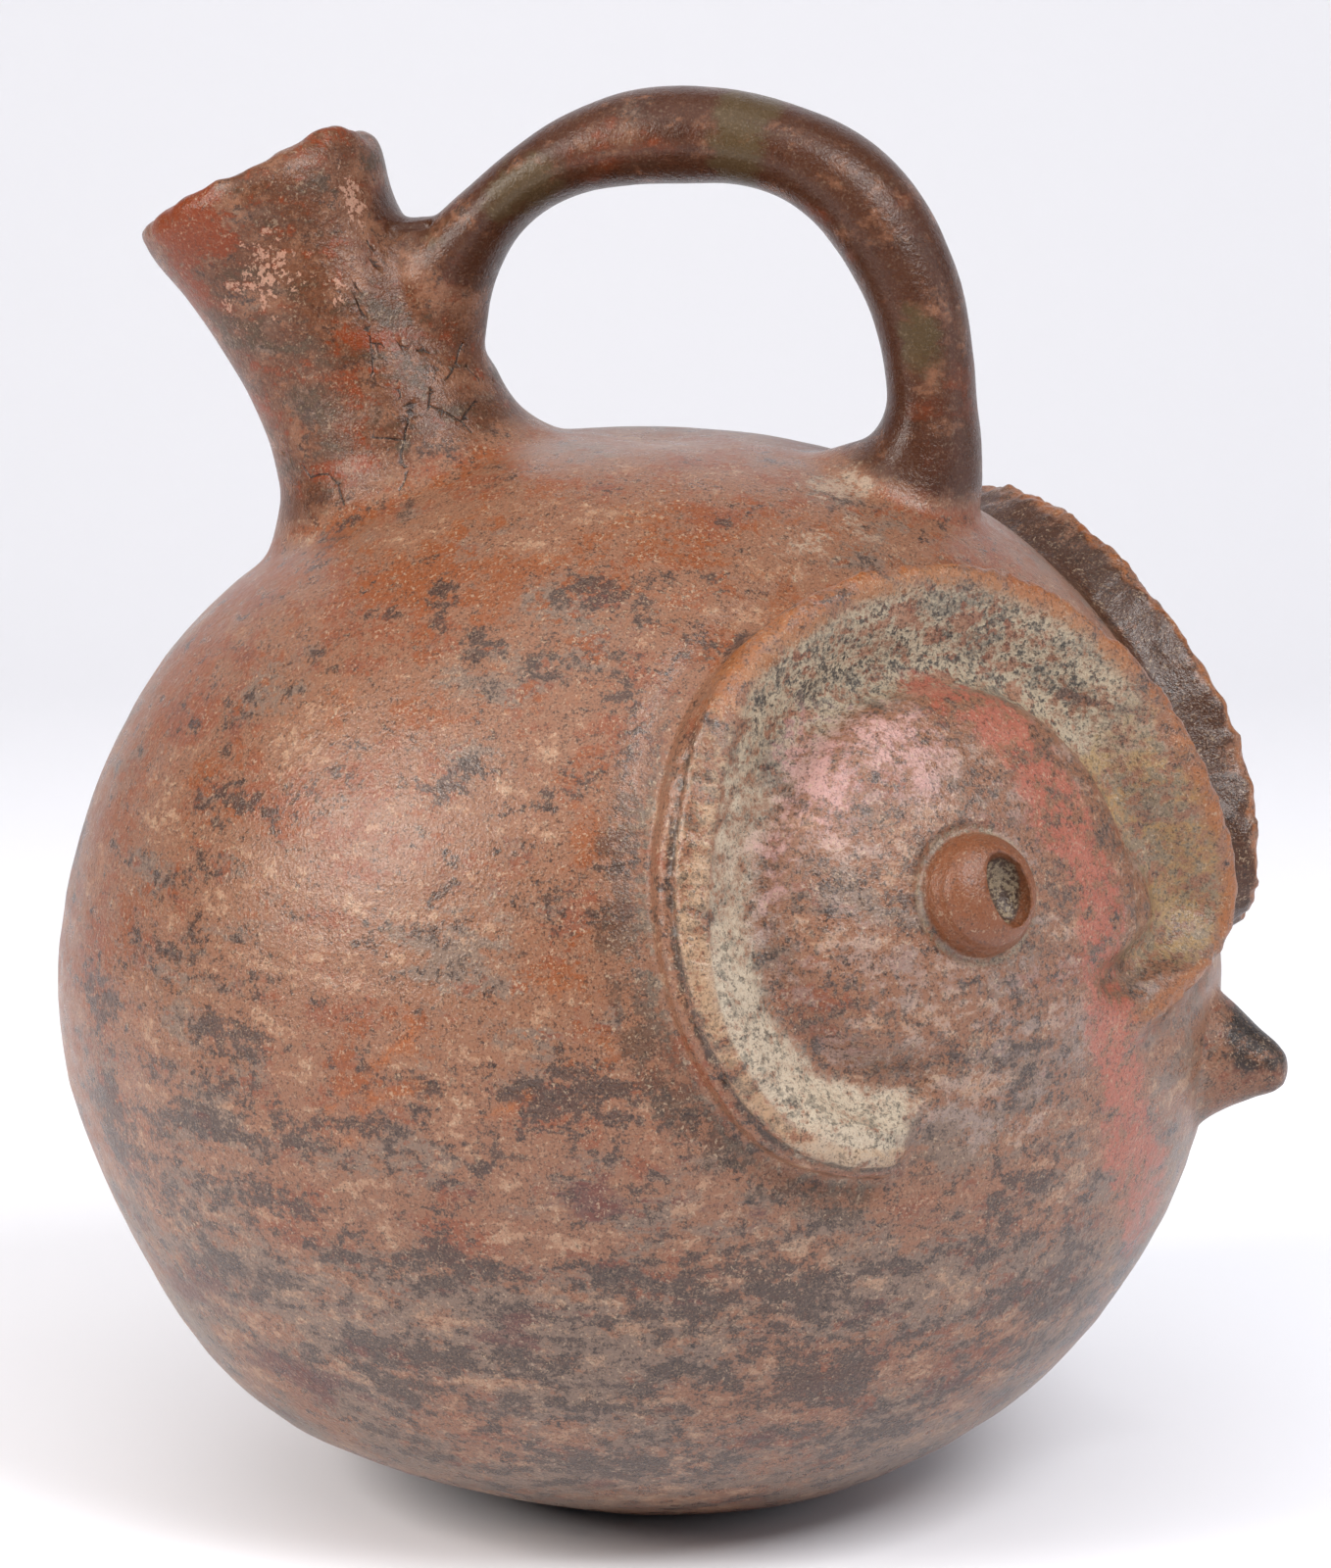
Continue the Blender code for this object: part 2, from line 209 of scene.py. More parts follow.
# Height at which the strip is wholly there, and where the angle round it starts
STRIP_FULL_AT = 2.5
ROUND_FROM = -75


def face_direction(turn, rise):
    """Unit direction from the body centre, turned from the face toward -X and raised."""
    turn = math.radians(turn)
    rise = math.radians(rise)
    return np.array([-math.sin(turn) * math.cos(rise), -math.cos(turn) * math.cos(rise), math.sin(rise)])


def face_axes(turn, rise):
    """A face direction with its sideways axis, toward the centre line, and its upward axis."""
    outward = face_direction(turn, rise)
    sideways = np.array([math.cos(math.radians(turn)), -math.sin(math.radians(turn)), 0.0])
    upward = np.cross(sideways, outward)
    return outward, sideways, upward * np.sign(upward[2])


def disc_places(directions):
    """Where each direction lies on its eye disc: reach and angle round it, distance from the
    rim's middle, the rim's height there, and how far it is the low outer rim."""
    outward, sideways, upward = face_axes(DISC_TURN, DISC_RISE)
    folded = directions.copy()
    folded[:, 0] = -np.abs(folded[:, 0])
    reach = np.degrees(np.arccos(np.clip(folded @ outward, -1, 1)))
    around = np.degrees(np.arctan2(folded @ upward, folded @ sideways))
    around = np.where(around < ROUND_FROM, around + 360, around)
    places, reaches, heights = np.array(BROW_STATIONS, float).T
    crest = smooth_through(places, reaches, around)
    height = np.maximum(smooth_through(places, heights, around), 0)
    low = smooth_step((around - LOW_SIDE_FROM) / (LOW_SIDE_FULL - LOW_SIDE_FROM))
    middle = RIM_MIDDLE[0] + (RIM_MIDDLE[1] - RIM_MIDDLE[0]) * low
    from_middle = np.radians(reach - crest) * DISC_ARM + middle
    return reach, around, from_middle, height, low


def disc_relief(directions):
    """Height of the eye disc, its brow rim and grooves over the plain body."""
    reach, around, from_middle, height, low = disc_places(directions)
    presence = smooth_step(height / STRIP_FULL_AT)
    half, fall, cove = (a + (b - a) * low for a, b in (RIM_HALF, RIM_BACK_FALL, RIM_COVE))
    behind = 1 - smooth_step((from_middle - half) / fall)
    inside = np.clip((-half - from_middle) / cove, 0, 1)
    relief = height * behind * (1 - inside) ** 2
    relief -= DISH_DEPTH * presence * bump(from_middle + DISH_AT, DISH_HALF)
    from_groove = from_middle - half - OUTER_GROOVE_AT
    relief -= OUTER_GROOVE_DEPTH * presence * low * bump(from_groove, OUTER_GROOVE_HALF)
    relief += MOUND_RISE * np.clip(1 - (reach / MOUND_REACH) ** 2, 0, 1) ** MOUND_POWER
    return relief


def skin_radius(directions):
    """Reach of the body with its eye discs."""
    return body_radius(directions) + disc_relief(directions)


body = globe("body", skin_radius)

# Spout
# A straight tube, pulled from a slab and luted to the back of the shoulder, leaning
# back. Its lip is worn uneven and has lost a corner next to the handle.
MOUTH_CENTRE = np.array([0.0, 65.2, 206.9])
SPOUT_LEAN = math.radians(27.0)
SPOUT_AXIS = np.array([0.0, math.sin(SPOUT_LEAN), math.cos(SPOUT_LEAN)])
SPOUT_BACK = np.array([0.0, math.cos(SPOUT_LEAN), -math.sin(SPOUT_LEAN)])
SIDEWAYS = np.array([1.0, 0.0, 0.0])
# Distance below the mouth, outer radius, how far the ring sits back of the axis
SPOUT_STATIONS = [
    (0, 20.1, 0.8),
    (5, 19.9, 0.9),
    (15, 18.0, 0.6),
    (25, 17.6, -0.5),
    (34, 17.5, -0.8),
    (40, 18.1, -0.9),
    (44, 19.0, -0.9),
    (48, 19.7, -0.2),
    (52, 21.6, 1.0),
    (56, 24.7, 1.9),
    (60, 29.0, 2.6),
    (63, 33.4, 2.8),
]
SPOUT_WALL = 4.2
SPOUT_SIDES = 72
SPOUT_RINGS = 48
# How far the worn, chipped lip stands up, against degrees round from the spout's back
LIP_TURNS = [-180, -174, -157, -135, -119, -108, -84, -48, 0, 60, 120, 168, 180]
LIP_LIFTS = [-4.6, -2.2, 0.2, -0.4, -0.4, -1.2, -0.1, -0.6, -1.2, -2.4, -2.8, -2.8, -4.6]
RIM_DEPTH = 12.0
# The lip's worn edge: distance below the mouth, and how far it draws in there
LIP_ROUNDING = ([0.0, 0.25, 0.8, 1.6, 2.6], [2.3, 1.4, 0.7, 0.2, 0.0])
BORE_LEAD_OUT = 12.0


def lofted(name, rings):
    """A closed solid through rings of points, with a flat cap on each end."""
    mesh = bpy.data.meshes.new(name)
    skin = bmesh.new()
    rows = [[skin.verts.new(point * MM) for point in ring] for ring in rings]
    for low, high in zip(rows, rows[1:]):
        for i in range(len(low)):
            j = (i + 1) % len(low)
            skin.faces.new((low[i], low[j], high[j], high[i]))
    skin.faces.new(rows[0])
    skin.faces.new(rows[-1])
    bmesh.ops.recalc_face_normals(skin, faces=skin.faces)
    bmesh.ops.triangulate(skin, faces=skin.faces)
    skin.to_mesh(mesh)
    skin.free()
    return new_object(name, mesh)


def rounding(sides):
    """Angles once round a ring."""
    return np.arange(sides) * 2 * math.pi / sides


def spout_ring(below, narrower, sides, lift=0.0):
    """One ring of the spout at a distance below its mouth, with an optional lift of each point."""
    places, radii, backs = np.array(SPOUT_STATIONS, float).T
    radius = smooth_through(places, radii, below) - narrower
    back = smooth_through(places, backs, below)
    turns = rounding(sides)
    centre = MOUTH_CENTRE - SPOUT_AXIS * below + SPOUT_BACK * back
    ring = centre + np.outer(np.cos(turns) * radius, SPOUT_BACK) + np.outer(np.sin(turns) * radius, SIDEWAYS)
    return ring + np.outer(np.ones(sides) * lift, SPOUT_AXIS)


def rim_lift(sides):
    """How far the worn lip stands up at each point round it."""
    turns = (np.degrees(rounding(sides)) + 180) % 360 - 180
    return smooth_through(LIP_TURNS, LIP_LIFTS, turns)


levels = np.concatenate([LIP_ROUNDING[0], np.linspace(4, SPOUT_STATIONS[-1][0], SPOUT_RINGS)])
spout_rings = []
for level in levels:
    lift = rim_lift(SPOUT_SIDES) * (1 - smooth_step(level / RIM_DEPTH))
    spout_rings.append(spout_ring(level, np.interp(level, *LIP_ROUNDING), SPOUT_SIDES, lift))
spout = lofted("spout", spout_rings)

# Handle
# A thick roll of clay arched from the spout to the crown of the face, round outside
# and pinched to a soft keel underneath, its feet smeared out over the body.
HANDLE_STATIONS = [
    (45.0, 168.0, 13.5, 11.5),
    (41.8, 177.5, 12.6, 11.0),
    (37.5, 186.5, 10.9, 10.3),
    (32.4, 193.6, 7.2, 9.7),
    (27.1, 200.0, 5.5, 9.3),
    (20.8, 205.4, 5.4, 9.1),
    (14.8, 208.8, 6.0, 9.1),
    (9.1, 210.9, 6.7, 9.3),
    (3.6, 212.1, 7.2, 9.5),
    (-3.6, 212.6, 7.4, 9.7),
    (-11.8, 212.2, 7.1, 9.7),
    (-19.5, 210.3, 7.0, 9.5),
    (-24.5, 208.1, 7.2, 9.4),
    (-29.2, 204.8, 7.5, 9.4),
    (-33.9, 199.2, 7.7, 9.4),
    (-37.2, 193.5, 7.5, 9.3),
    (-39.3, 188.6, 7.3, 9.2),
    (-41.5, 178.5, 6.9, 9.2),
    (-42.0, 171.0, 7.1, 9.5),
    (-41.4, 166.0, 8.5, 10.4),
    (-40.2, 162.2, 10.3, 11.8),
    (-38.2, 158.6, 13.0, 14.0),
    (-36.0, 155.0, 17.0, 17.5),
    (-34.3, 151.8, 21.0, 21.0),
]
HANDLE_KEEL_SHIFT = 0.14
HANDLE_OUTER_POWER = 2.2
HANDLE_INNER_POWER = 1.75
HANDLE_SIDES = 56
HANDLE_RINGS = 120


def handle_section(half_thickness, half_width):
    """Across and outward distances round the handle: full outside, keeled inside."""
    turns = rounding(HANDLE_SIDES)
    across = np.cos(turns)
    out = np.sin(turns)
    power = np.where(out > 0, HANDLE_OUTER_POWER, HANDLE_INNER_POWER)
    size = (np.abs(across) ** power + np.abs(out) ** power) ** (-1 / power)
    shift = HANDLE_KEEL_SHIFT * half_thickness
    depth = np.where(out > 0, half_thickness + shift, half_thickness - shift)
    return across * size * half_width, out * size * depth - shift


stations = np.array(HANDLE_STATIONS, float)
spans = np.linalg.norm(np.diff(stations[:, :2], axis=0), axis=1)
along = np.concatenate([[0], np.cumsum(spans)])
handle_levels = np.linspace(0, along[-1], HANDLE_RINGS)
handle_line = np.stack([smooth_through(along, column, handle_levels) for column in stations.T], axis=1)
travel = np.gradient(handle_line[:, :2], axis=0)
travel /= np.linalg.norm(travel, axis=1)[:, None]
handle_rings = []
for (y, z, half_thickness, half_width), (go_y, go_z) in zip(handle_line, travel):
    across, out = handle_section(half_thickness, half_width)
    handle_rings.append(np.stack([across, y + out * go_z, z - out * go_y], axis=1))
handle = lofted("handle", handle_rings)

# Beak
# A blunt cone pinched out of one pellet of clay and smoothed into the face.
BEAK_STATIONS = [
    (-78.0, 73.0, 15.0, 13.5),
    (-84.5, 73.0, 11.9, 10.6),
    (-87.0, 73.0, 10.1, 9.0),
    (-90.0, 72.6, 8.0, 7.4),
    (-94.0, 71.6, 5.2, 5.2),
    (-96.6, 71.0, 3.8, 3.9),
    (-98.0, 70.8, 2.4, 2.5),
    (-98.5, 70.8, 0.8, 0.8),
]
BEAK_SIDES = 56

beak_rings = []
for y, z, half_height, half_width in BEAK_STATIONS:
    turns = rounding(BEAK_SIDES)
    level = np.full(BEAK_SIDES, y)
    beak_rings.append(np.stack([np.cos(turns) * half_width, level, z + np.sin(turns) * half_height], axis=1))
beak = lofted("beak", beak_rings)

# Eyes
# A domed pellet pressed on to each mound while wet, with the pupil gouged off centre
# and a seam left open at the pellet's foot.
EYE_TURN = 44.7
EYE_RISE = 16.6
EYE_RADIUS = 8.9
EYE_HEIGHT = 6.2
EYE_FULLNESS = 2.7
EYE_SIDES = 56
EYE_RINGS = 28
PUPIL_HALF_WIDTH = 3.9
PUPIL_HALF_HEIGHT = 5.7
PUPIL_DEPTH = 4.6
PUPIL_OFFSET = 1.8
PUPIL_CENTRE_HEIGHT = 5.6
PUPIL_TILT = math.radians(14)
PUPIL_SIDES = 40
PUPIL_RINGS = 24


def eye_frame(side):
    """The eye's place on the body and its axes, on one side of the face."""
    outward, sideways, upward = face_axes(EYE_TURN, EYE_RISE)
    seat = BODY_CENTRE + outward * skin_radius(outward[None, :])[0]
    flip = np.array([-side, 1, 1])
    return seat * flip, outward * flip, sideways * flip, upward * flip


def domed(name, centre, axes, sizes, sides, rings, power=2.0):
    """A rounded button from its centre, its three axes and half sizes; more power is fuller."""
    turns = rounding(sides)
    slices = []
    for rise in np.linspace(-math.pi / 2, math.pi / 2, rings + 1)[1:-1]:
        flat = math.cos(rise) ** (2 / power)
        ring = np.outer(np.cos(turns) * flat * sizes[0], axes[0])
        ring += np.outer(np.sin(turns) * flat * sizes[1], axes[1])
        ring += np.sign(rise) * abs(math.sin(rise)) ** (2 / power) * sizes[2] * axes[2]
        slices.append(centre + ring)
    return lofted(name, slices)


def eye_pellet(side):
    """A domed pellet pressed on to the disc."""
    seat, outward, sideways, upward = eye_frame(side)
    sizes = (EYE_RADIUS, EYE_RADIUS, EYE_HEIGHT)
    return domed(f"eye_{side}", seat, (sideways, upward, outward), sizes, EYE_SIDES, EYE_RINGS, EYE_FULLNESS)


def pupil(side):
    """The gouge in the eye, leaning like the pellet's seam."""
    seat, outward, sideways, upward = eye_frame(side)
    turned_side = sideways * math.cos(PUPIL_TILT) + upward * math.sin(PUPIL_TILT)
    turned_up = upward * math.cos(PUPIL_TILT) - sideways * math.sin(PUPIL_TILT)
    centre = seat + outward * PUPIL_CENTRE_HEIGHT + sideways * PUPIL_OFFSET
    sizes = (PUPIL_HALF_WIDTH, PUPIL_HALF_HEIGHT, PUPIL_DEPTH)
    return domed(f"pupil_{side}", centre, (turned_side, turned_up, outward), sizes, PUPIL_SIDES, PUPIL_RINGS)


eyes = [eye_pellet(-1), eye_pellet(1)]

# Wet clay joined
# The potter smears every join until body, spout, handle, beak and eyes are one skin.
# The skin keeps finger dents, burnishing strokes, a ragged lip and nibbled brows.
# Depths and sizes are in millimetres, places across a rim in millimetres outward
# from its middle, and places round it in degrees.
SKIN_VOXEL = 0.72
SKIN_SMOOTHING = 4
SKIN_TRIANGLES = 130000
EDGE_OF_SKIN = 2.5
# Depth and size of each kind of finger dent
DENTS = ((0.34, 34.0), (0.15, 12.0), (0.06, 4.6))
STROKE_DEPTH = 0.09
STROKE_LONG = 13.0
STROKE_WIDE = 2.6
STROKES_OFF_DISC = (3, 4)
FAR_BROW_NIBBLE = 0.5
NEAR_BROW_NIBBLE = 0.35
NIBBLE_SIZE = 1.6
NIBBLE_COARSER = 2.6
NIBBLE_BITE = 0.25
BROW_EDGE_HALF = 1.8
# Depth and size of the ragged bites along the lip, and how far down they reach
LIP_RAGGED = ((0.8, 6.0), (0.5, 2.6))
LIP_REACH = 5.0
LIP_BEHIND = 40
# The cheek ring: a pressed seam, a sharp outer edge, a crumbly flat band, a blunt end
RIM_SEAM_DEPTH = 0.75
RIM_SEAM_UNEVEN = (0.35, 1.8)
RIM_SEAM_AT = 0.9
RIM_SEAM_HALF = 0.75
RIM_SHARPER = 0.5
RIM_SHARPER_AT = 0.5
RIM_SHARPER_HALF = 0.9
RING_BAND = (-3.0, 1.6)
RING_BAND_EDGE = 1.2
RING_BAND_RISE = 0.7
RING_NARROWS = 2.0
RING_NARROWS_ROUND = (165, 40)
RING_CRUMBS = 0.3
RING_CRUMB_SIZE = 1.7
# Degrees round the disc, half size, distance across the rim, level part, fade
RING_END = (230, 9.0, -0.5, 2.5, 1.5)
RING_END_RISE = 0.9
# The dish and the mound in it, cut deeper and raised higher than in the solid
CRUST_ROUGH = 0.2
CRUST_SIZE = 2.0
CRUST_MIDDLE = -5
CRUST_FADE = 14
DISH_DEEPER = (2.0, 1.5)
DISH_DEEPER_INWARD = 1.0
MOUND_EDGE_DEPTH = 0.8
MOUND_EDGE_HALF = 2.0
MOUND_EDGE_INSIDE = 0.8
MOUND_EDGE_LOST_LOW = 0.6
MOUND_HIGHER = 0.8
FOOT_DEEPER = 0.5
FOOT_AT = 8.4
FOOT_HALF = 2.4
# The seam left open round each pellet, on its outer side
PELLET_SEAM_DEPTH = 1.1
PELLET_SEAM_HALF = 0.9
PELLET_SEAM_OUT = 0.6
PELLET_SEAM_ROUND = 0.7
PELLET_SEAM_NEAR = (2, 3)
# A small node of clay on the cheek
NODE_TURN = 62.4
NODE_RISE = -2.3
NODE_HEIGHT = 1.1
NODE_HALF = 3.4
# A pad of clay pressed in where the handle's root lies against the spout, and the
# gaps left open under it
ROOT_PAD_CENTRE = (0.0, 38.2, 196.6)
ROOT_PAD_SIZES = (6.5, 4.6, 2.9)
ROOT_PAD_SIDES = 32
ROOT_PAD_RINGS = 20
HANDLE_SLOTS = [
    [(-5.2, 40.6, 198.6), (-4.9, 36.6, 198.9)],
    [(-6.0, 41.4, 198.0), (-6.2, 41.0, 197.0)],
]
HANDLE_SLOT_DEPTH = 1.6
HANDLE_SLOT_HALF = 0.7
# Only the creases where spout and handle stand on the body are smeared out wide
JOIN_SMEAR = 45
JOIN_REACH = 9.0
SMEAR_LEVELS = 10
NOWHERE_NEAR = 1e3
HANDLE_FOOT_ABOVE = 140
HANDLE_FOOT_WIDE = 24
# Along the handle: where its root starts, its fade, where it ends and its fade
HANDLE_ROOT_ALONG = (12, 6, 34, 8)
HANDLE_ROOT_ABOVE = 168


def joined(name, pieces):
    """Gathers the meshes of several closed pieces in one object."""
    mesh = bpy.data.meshes.new(name)
    gathered = bmesh.new()
    for piece in pieces:
        gathered.from_mesh(piece.data)
        bpy.data.objects.remove(piece)
    gathered.to_mesh(mesh)
    gathered.free()
    return new_object(name, mesh)


def settled(thing):
    """Replaces the object's mesh with what its modifiers make of it."""
    bpy.context.view_layer.update()
    graph = bpy.context.evaluated_depsgraph_get()
    mesh = bpy.data.meshes.new_from_object(thing.evaluated_get(graph))
    thing.modifiers.clear()
    thing.data = mesh


def lattice_noise(points, size, seed):
    """Smooth noise between -1 and 1 with lumps about the given size, the same on every run."""
    places = points / size + 101.3 * seed
    cell = np.floor(places).astype(np.int64)
    part = places - cell
    part = part * part * (3 - 2 * part)
    total = np.zeros(len(points))
    for corner in range(8):
        step = np.array([corner & 1, corner >> 1 & 1, corner >> 2 & 1])
        x, y, z = (cell + step).T
        mixed = (x * 73856093) ^ (y * 19349663) ^ (z * 83492791) ^ (seed * 2654435761)
        mixed = (mixed ^ (mixed >> 13)) * 1274126177 & 0xFFFFFFFF
        value = ((mixed ^ (mixed >> 16)) & 0xFFFF) / 32767.5 - 1
        total += value * np.prod(np.where(step, part, 1 - part), axis=1)
    return total


def places_on_body(points):
    """Directions from the body centre, and how surely each point belongs to the body's skin."""
    arm = points - BODY_CENTRE
    reach = np.linalg.norm(arm, axis=1)
    directions = arm / reach[:, None]
    above = reach - skin_radius(directions)
    return directions, 1 - smooth_step((above - 1.0) / EDGE_OF_SKIN)


def places_on_spout(points):
    """Distance below the mouth, angle round from the back, and distance from the spout's axis."""
    below = (MOUTH_CENTRE - points) @ SPOUT_AXIS
    arm = points - MOUTH_CENTRE + below[:, None] * SPOUT_AXIS
    return below, np.arctan2(arm[:, 0], arm @ SPOUT_BACK), np.linalg.norm(arm, axis=1)


def from_runs(places, runs):
    """Distance of each place from the nearest of several runs of points."""
    nearest = np.full(len(places), NOWHERE_NEAR)
    for run in runs:
        for start, end in zip(run, run[1:]):
            start = np.array(start, float)
            way = np.array(end, float) - start
            part = np.clip((places - start) @ way / (way @ way), 0, 1)
            away = np.linalg.norm(places - start - part[:, None] * way, axis=1)
            nearest = np.minimum(nearest, away)
    return nearest


def places_on_handle(points):
    """Distance along the handle's middle line, outward from it, and distance from it."""
    flat = points[:, 1:]
    nearest = np.full(len(points), NOWHERE_NEAR)
    at = np.zeros(len(points))
    out = np.zeros(len(points))
    for level, (y, z), (go_y, go_z) in zip(handle_levels, handle_line[:, :2], travel):
        arm = flat - (y, z)
        distance = np.hypot(*arm.T)
        closer = distance < nearest
        nearest = np.where(closer, distance, nearest)
        at = np.where(closer, level + arm @ (go_y, go_z), at)
        out = np.where(closer, arm @ (go_z, -go_y), out)
    return at, out, np.hypot(nearest, points[:, 0])


def rim_patch(around, from_middle, patch):
    """A soft patch at one place round the eye's rim and across it."""
    at_round, half_round, at_across, level, fade = patch
    return bump(around - at_round, half_round) * plateau(from_middle - at_across, level, fade)


def ring_band_start(around):
    """Where the flat band of the cheek ring starts, drawing in toward its blunt end."""
    return RING_BAND[0] + RING_NARROWS * fades_in(around, *RING_NARROWS_ROUND)


def ring_band(from_middle, around):
    """How surely each place is on the flat band of the cheek ring, inside its seam."""
    start = ring_band_start(around) - RING_BAND_EDGE / 2
    return between(from_middle, start, RING_BAND_EDGE, RING_BAND[1], RING_BAND_EDGE)


def disc_work(points, directions, on_body):
    """How far the eye disc's own wear moves each point: nibbles, seam, band, dish and mound."""
    reach, around, from_middle, height, low = disc_places(directions)
    presence = smooth_step(height / STRIP_FULL_AT) * on_body
    off_disc = fades_in(from_middle, *STROKES_OFF_DISC)
    strokes = lattice_noise(points * [1 / STROKE_LONG, 1 / STROKE_LONG, 1 / STROKE_WIDE], 1.0, 11)
    move = STROKE_DEPTH * strokes * on_body * off_disc
    brow = presence * (1 - low) * bump(from_middle - RIM_MIDDLE[0], BROW_EDGE_HALF)
    nibble = np.where(points[:, 0] > 0, FAR_BROW_NIBBLE, NEAR_BROW_NIBBLE)
    ragged = lattice_noise(points, NIBBLE_SIZE, 21)
    ragged += lattice_noise(points, NIBBLE_SIZE * NIBBLE_COARSER, 24)
    move += brow * nibble * (ragged - NIBBLE_BITE)
    uneven, size = RIM_SEAM_UNEVEN
    seam = RIM_SEAM_DEPTH + uneven * lattice_noise(points, size, 22)
    move -= presence * low * seam * bump(from_middle + RIM_SEAM_AT - RIM_MIDDLE[1], RIM_SEAM_HALF)
    crust = presence * smooth_step(1 - np.abs(from_middle - CRUST_MIDDLE) / CRUST_FADE)
    move += crust * CRUST_ROUGH * lattice_noise(points, CRUST_SIZE, 23)
    sharp = bump(from_middle - RIM_MIDDLE[1] - RIM_SHARPER_AT, RIM_SHARPER_HALF)
    move += RIM_SHARPER * presence * low * sharp
    crumbs = RING_BAND_RISE + RING_CRUMBS * lattice_noise(points, RING_CRUMB_SIZE, 25)
    move += presence * low * crumbs * ring_band(from_middle, around)
    move += RING_END_RISE * presence * low * rim_patch(around, from_middle, RING_END)
    deeper = DISH_DEEPER[0] + (DISH_DEEPER[1] - DISH_DEEPER[0]) * low
    move -= deeper * presence * bump(from_middle + DISH_AT - DISH_DEEPER_INWARD, DISH_HALF)
    edge = bump(reach - MOUND_REACH + MOUND_EDGE_INSIDE, MOUND_EDGE_HALF)
    move -= MOUND_EDGE_DEPTH * presence * (1 - MOUND_EDGE_LOST_LOW * low) * edge
    move += MOUND_HIGHER * on_body * np.clip(1 - (reach / MOUND_REACH) ** 2, 0, 1)
    move -= FOOT_DEEPER * presence * bump(from_middle - FOOT_AT, FOOT_HALF)
    return move


def pellet_seams(points):
    """How far the open seam round each eye pellet cuts into the skin."""
    deep = np.zeros(len(points))
    for side in (-1, 1):
        seat, outward, sideways, upward = eye_frame(side)
        arm = points - seat
        beside = np.hypot(arm @ sideways, arm @ upward)
        outer_side = smooth_step(PELLET_SEAM_ROUND - 0.5 * (arm @ sideways) / np.maximum(beside, 1e-6))
        near = 1 - fades_in(np.abs(arm @ outward), *PELLET_SEAM_NEAR)
        open_seam = bump(beside - EYE_RADIUS - PELLET_SEAM_OUT, PELLET_SEAM_HALF)
        deep += PELLET_SEAM_DEPTH * near * outer_side * open_seam
    return deep


def worked_skin(points):
    """How far hand and wear move each point of the skin, in millimetres outward."""
    directions, on_body = places_on_body(points)
    move = sum(depth * lattice_noise(points, size, 3 + i) for i, (depth, size) in enumerate(DENTS))
    move += disc_work(points, directions, on_body)
    move -= pellet_seams(points)
    node = face_direction(NODE_TURN, NODE_RISE)
    off_node = np.arccos(np.clip(directions @ node, -1, 1)) * DISC_ARM
    move += on_body * NODE_HEIGHT * bump(off_node, NODE_HALF)
    move -= HANDLE_SLOT_DEPTH * bump(from_runs(points, HANDLE_SLOTS), HANDLE_SLOT_HALF)
    below = places_on_spout(points)[0]
    lip = (1 - smooth_step(below / LIP_REACH)) * (points[:, 1] > LIP_BEHIND)
    for i, (depth, size) in enumerate(LIP_RAGGED):
        move += lip * depth * lattice_noise(points, size, 31 + i)
    return move


root_pad = domed("root_pad", ROOT_PAD_CENTRE, np.eye(3), ROOT_PAD_SIZES, ROOT_PAD_SIDES, ROOT_PAD_RINGS)
jar = joined("owl_jar_ware", [body, spout, handle, root_pad, beak, *eyes])
melt = jar.modifiers.new("melt_joins", "REMESH")
melt.mode = "VOXEL"
melt.voxel_size = SKIN_VOXEL * MM
ease = jar.modifiers.new("ease_skin", "SMOOTH")
ease.factor = 0.5
ease.iterations = SKIN_SMOOTHING
settled(jar)

points = points_of(jar.data) / MM
directions = places_on_body(points)[0]
above = np.linalg.norm(points - BODY_CENTRE, axis=1) - skin_radius(directions)
below, turn, out = places_on_spout(points)
places, radii = np.array(SPOUT_STATIONS, float).T[:2]
at_spout = 1 - smooth_step(np.abs(out - smooth_through(places, radii, below)) / JOIN_REACH)
at_foot = (points[:, 1] < 0) * (points[:, 2] > HANDLE_FOOT_ABOVE)
at_foot = at_foot * (np.abs(points[:, 0]) < HANDLE_FOOT_WIDE)
smear = 1 - smooth_step(np.abs(above) / JOIN_REACH)
smear *= np.maximum(at_spout * (points[:, 1] > 0), at_foot)
along = places_on_handle(points)[0]
at_root = at_spout * between(along, *HANDLE_ROOT_ALONG) * (points[:, 2] > HANDLE_ROOT_ABOVE)
smear = np.maximum(smear, at_root)
group = jar.vertex_groups.new(name="smeared_joins")
for level in range(1, SMEAR_LEVELS + 1):
    members = np.flatnonzero(np.round(smear * SMEAR_LEVELS) == level).tolist()
    group.add(members, level / SMEAR_LEVELS, "REPLACE")
smeared = jar.modifiers.new("smear_joins", "SMOOTH")
smeared.factor = 0.5
smeared.iterations = JOIN_SMEAR
smeared.vertex_group = group.name
settled(jar)

points = points_of(jar.data) / MM
points += points_of(jar.data, "normal") * worked_skin(points)[:, None]
points[:, 2] = np.maximum(points[:, 2], 0)
jar.data.vertices.foreach_set("co", (points * MM).ravel())
thin = jar.modifiers.new("thin_facets", "DECIMATE")
thin.ratio = SKIN_TRIANGLES / sum(len(face.vertices) - 2 for face in jar.data.polygons)
settled(jar)

# Hollow
# The inside follows the outside one wall in, with a level floor, and opens through
# the spout. The pupils are gouged with it.
BODY_WALL = 5.8
FLOOR_THICKNESS = 6.5
CAVITY_SIDES = 72
CAVITY_RINGS = 40
BORE_SIDES = 56
BORE_RINGS = 40


def cavity_radius(directions):
    """The hollow follows the plain body, with a level floor above the underside."""
    to_floor = (BODY_CENTRE[2] - FLOOR_THICKNESS) / np.maximum(-directions[:, 2], 1e-6)
    return np.minimum(body_radius(directions) - BODY_WALL, to_floor)


